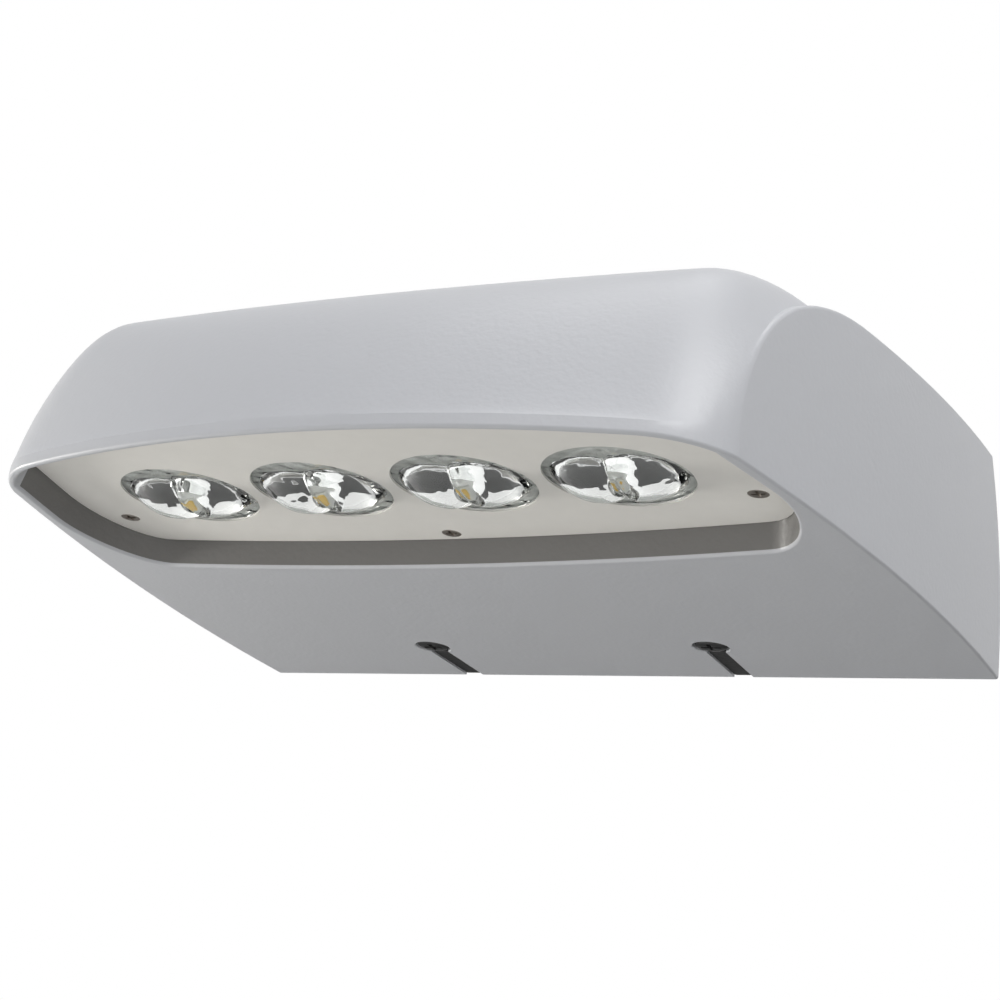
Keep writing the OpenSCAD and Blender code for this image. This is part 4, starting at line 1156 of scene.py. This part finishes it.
class WALLPACK_OT_stage(PieceOperator, bpy.types.Operator):
    """Camera, pale floor, soft lamps and a white background"""
    bl_idname = "wallpack.stage"
    bl_label = "Stage"

    # Name, place, what it points at, size, power and colour of each soft lamp
    lamps = (
        ("top", (0, -0.3, 1.9), (0, -0.12, 0), 1.5, 8.9, (1, 1, 1)),
        ("right", (1.2, -1.2, 1.3), (0, -0.15, 0), 1.2, 25.0, (1, 1, 1)),
        ("front", (0.3, -2.0, 0.1), (0, -0.15, 0), 1.6, 9.3, (1, 1, 1)),
        ("low", (-0.75, -0.3, -0.22), (0, -0.12, -0.05), 0.18, 3.7, (1, 0.98, 0.93)))

    # Name, lowest and highest corner of each dark card near the floor
    cards = (
        ("front_card", (-1.3, -2.4, 0.010), (1.3, -0.75, 0.014)),
        ("rear_card", (-1.3, 0.25, 0.010), (1.3, 1.9, 0.014)))

    # Half the side of the floor, and the width of the camera's picture plane in millimetres
    floor_half, sensor = 6.0, 36

    def execute(self, context):
        sizes = context.scene.wp_stage
        self.camera(context.scene, sizes)
        self.floor(sizes)
        self.dark_cards(sizes)
        self.background(context.scene, sizes)
        for name, place, target, size, power, colour in self.lamps:
            data = bpy.data.lights.new(name, "AREA")
            data.shape, data.size, data.energy, data.color = "DISK", size, power, colour
            lamp = link(name, data)
            lamp.visible_camera = False
            lamp.location = place
            lamp.rotation_euler = (Vector(target) - Vector(place)).to_track_quat("-Z", "Y").to_euler()
        context.scene.view_settings.view_transform = "Standard"
        return {"FINISHED"}

    def camera(self, scene, sizes):
        data = bpy.data.cameras.new("camera")
        data.lens, data.sensor_width = sizes.lens, self.sensor
        data.clip_start, data.clip_end = 0.01, 50
        camera = link("camera", data)
        a, e = sizes.azimuth, sizes.elevation
        turn = (Matrix.Rotation(a, 4, "Z") @ Matrix.Rotation(math.pi / 2 - e, 4, "X")
                @ Matrix.Rotation(sizes.roll, 4, "Z"))
        camera.matrix_world = Matrix.Translation(sizes.place) @ turn
        scene.camera = camera

    def floor(self, sizes):
        """Pale floor, lifted towards white where it is seen, so that it keeps the lamp's shadow."""
        half = self.floor_half
        floor = new_piece("floor", [[Vector((x, y, sizes.floor)) for x, y in
                                     ((-half, -half), (half, -half), (half, half), (-half, half))]])
        if floor.data.polygons[0].normal.z < 0:
            floor.data.flip_normals()
        pale = Shader("pale_floor", (0.80, 0.80, 0.79), 0.7)
        pale.vary(pale.noise(0.4), 0.01, 0.05)
        pale.set("Emission Color", (1, 1, 1, 1))
        pale.set("Emission Strength", pale.calc("MULTIPLY", pale.seen_rays(), sizes.floor_lift))
        floor.data.materials.append(pale.material)

    def dark_cards(self, sizes):
        """Dark cards low in front and behind, which give the clear lenses dark accents and stay unseen."""
        felt = Shader("dark_felt", (0.02, 0.02, 0.02), 0.9)
        material = felt.bump(felt.noise(2 * MM), 0.2 * MM).vary(felt.noise(0.1), 0.1, 0.05).material
        up = Vector((0, 0, sizes.floor))
        for name, low, high in self.cards:
            card = new_piece(name, block(Vector(low) + up, Vector(high) + up))
            card.visible_camera = card.visible_shadow = card.visible_diffuse = False
            card.data.materials.append(material)

    def background(self, scene, sizes):
        """White where it is seen, reflected or refracted, and a plain grey light elsewhere."""
        world = bpy.data.worlds.new("studio")
        scene.world = world
        world.use_nodes = True
        sky = Nodes(world.node_tree)
        sky.tree.nodes.clear()
        dim, white = [sky.add("ShaderNodeBackground", {"Color": (1, 1, 1, 1), "Strength": level}).outputs[0]
                      for level in (sizes.ambient, 1.0)]
        mix = sky.add("ShaderNodeMixShader", {0: sky.seen_rays(), 1: dim, 2: white}).outputs[0]
        sky.add("ShaderNodeOutputWorld", {"Surface": mix})


class WALLPACK_PT_panel(bpy.types.Panel):
    """Steps that dress the wall pack"""
    bl_idname = "WALLPACK_PT_panel"
    bl_label = "Wall pack"
    bl_space_type = "VIEW_3D"
    bl_region_type = "UI"
    bl_category = "Wall pack"

    def draw(self, context):
        for operator in OPERATORS:
            self.layout.operator(operator.bl_idname)


GROUPS = {"wp_housing": HousingSizes, "wp_bay": BaySizes, "wp_lens": LensSizes, "wp_stage": StageSizes,
          "wp_finishes": Finishes}
OPERATORS = (WALLPACK_OT_stage, WALLPACK_OT_housing, WALLPACK_OT_lenses, WALLPACK_OT_diodes,
             WALLPACK_OT_screws, WALLPACK_OT_leads, WALLPACK_OT_finishes)


def register():
    for group in (*GROUPS.values(), *OPERATORS, WALLPACK_PT_panel):
        bpy.utils.register_class(group)
    for name, group in GROUPS.items():
        setattr(bpy.types.Scene, name, bpy.props.PointerProperty(type=group))


def unregister():
    for name in GROUPS:
        delattr(bpy.types.Scene, name)
    for group in reversed((*GROUPS.values(), *OPERATORS, WALLPACK_PT_panel)):
        bpy.utils.unregister_class(group)


def clear_scene():
    """Removes what a new file holds besides the frame."""
    kept = {*NODES.values(), *frame["bodies"].values()}
    for thing in list(bpy.data.objects):
        if thing not in kept:
            bpy.data.objects.remove(thing)


def main():
    clear_scene()
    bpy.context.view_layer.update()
    register()
    for operator in OPERATORS:
        group, name = operator.bl_idname.split(".")
        getattr(getattr(bpy.ops, group), name)()


if __name__ == "__main__":
    main()
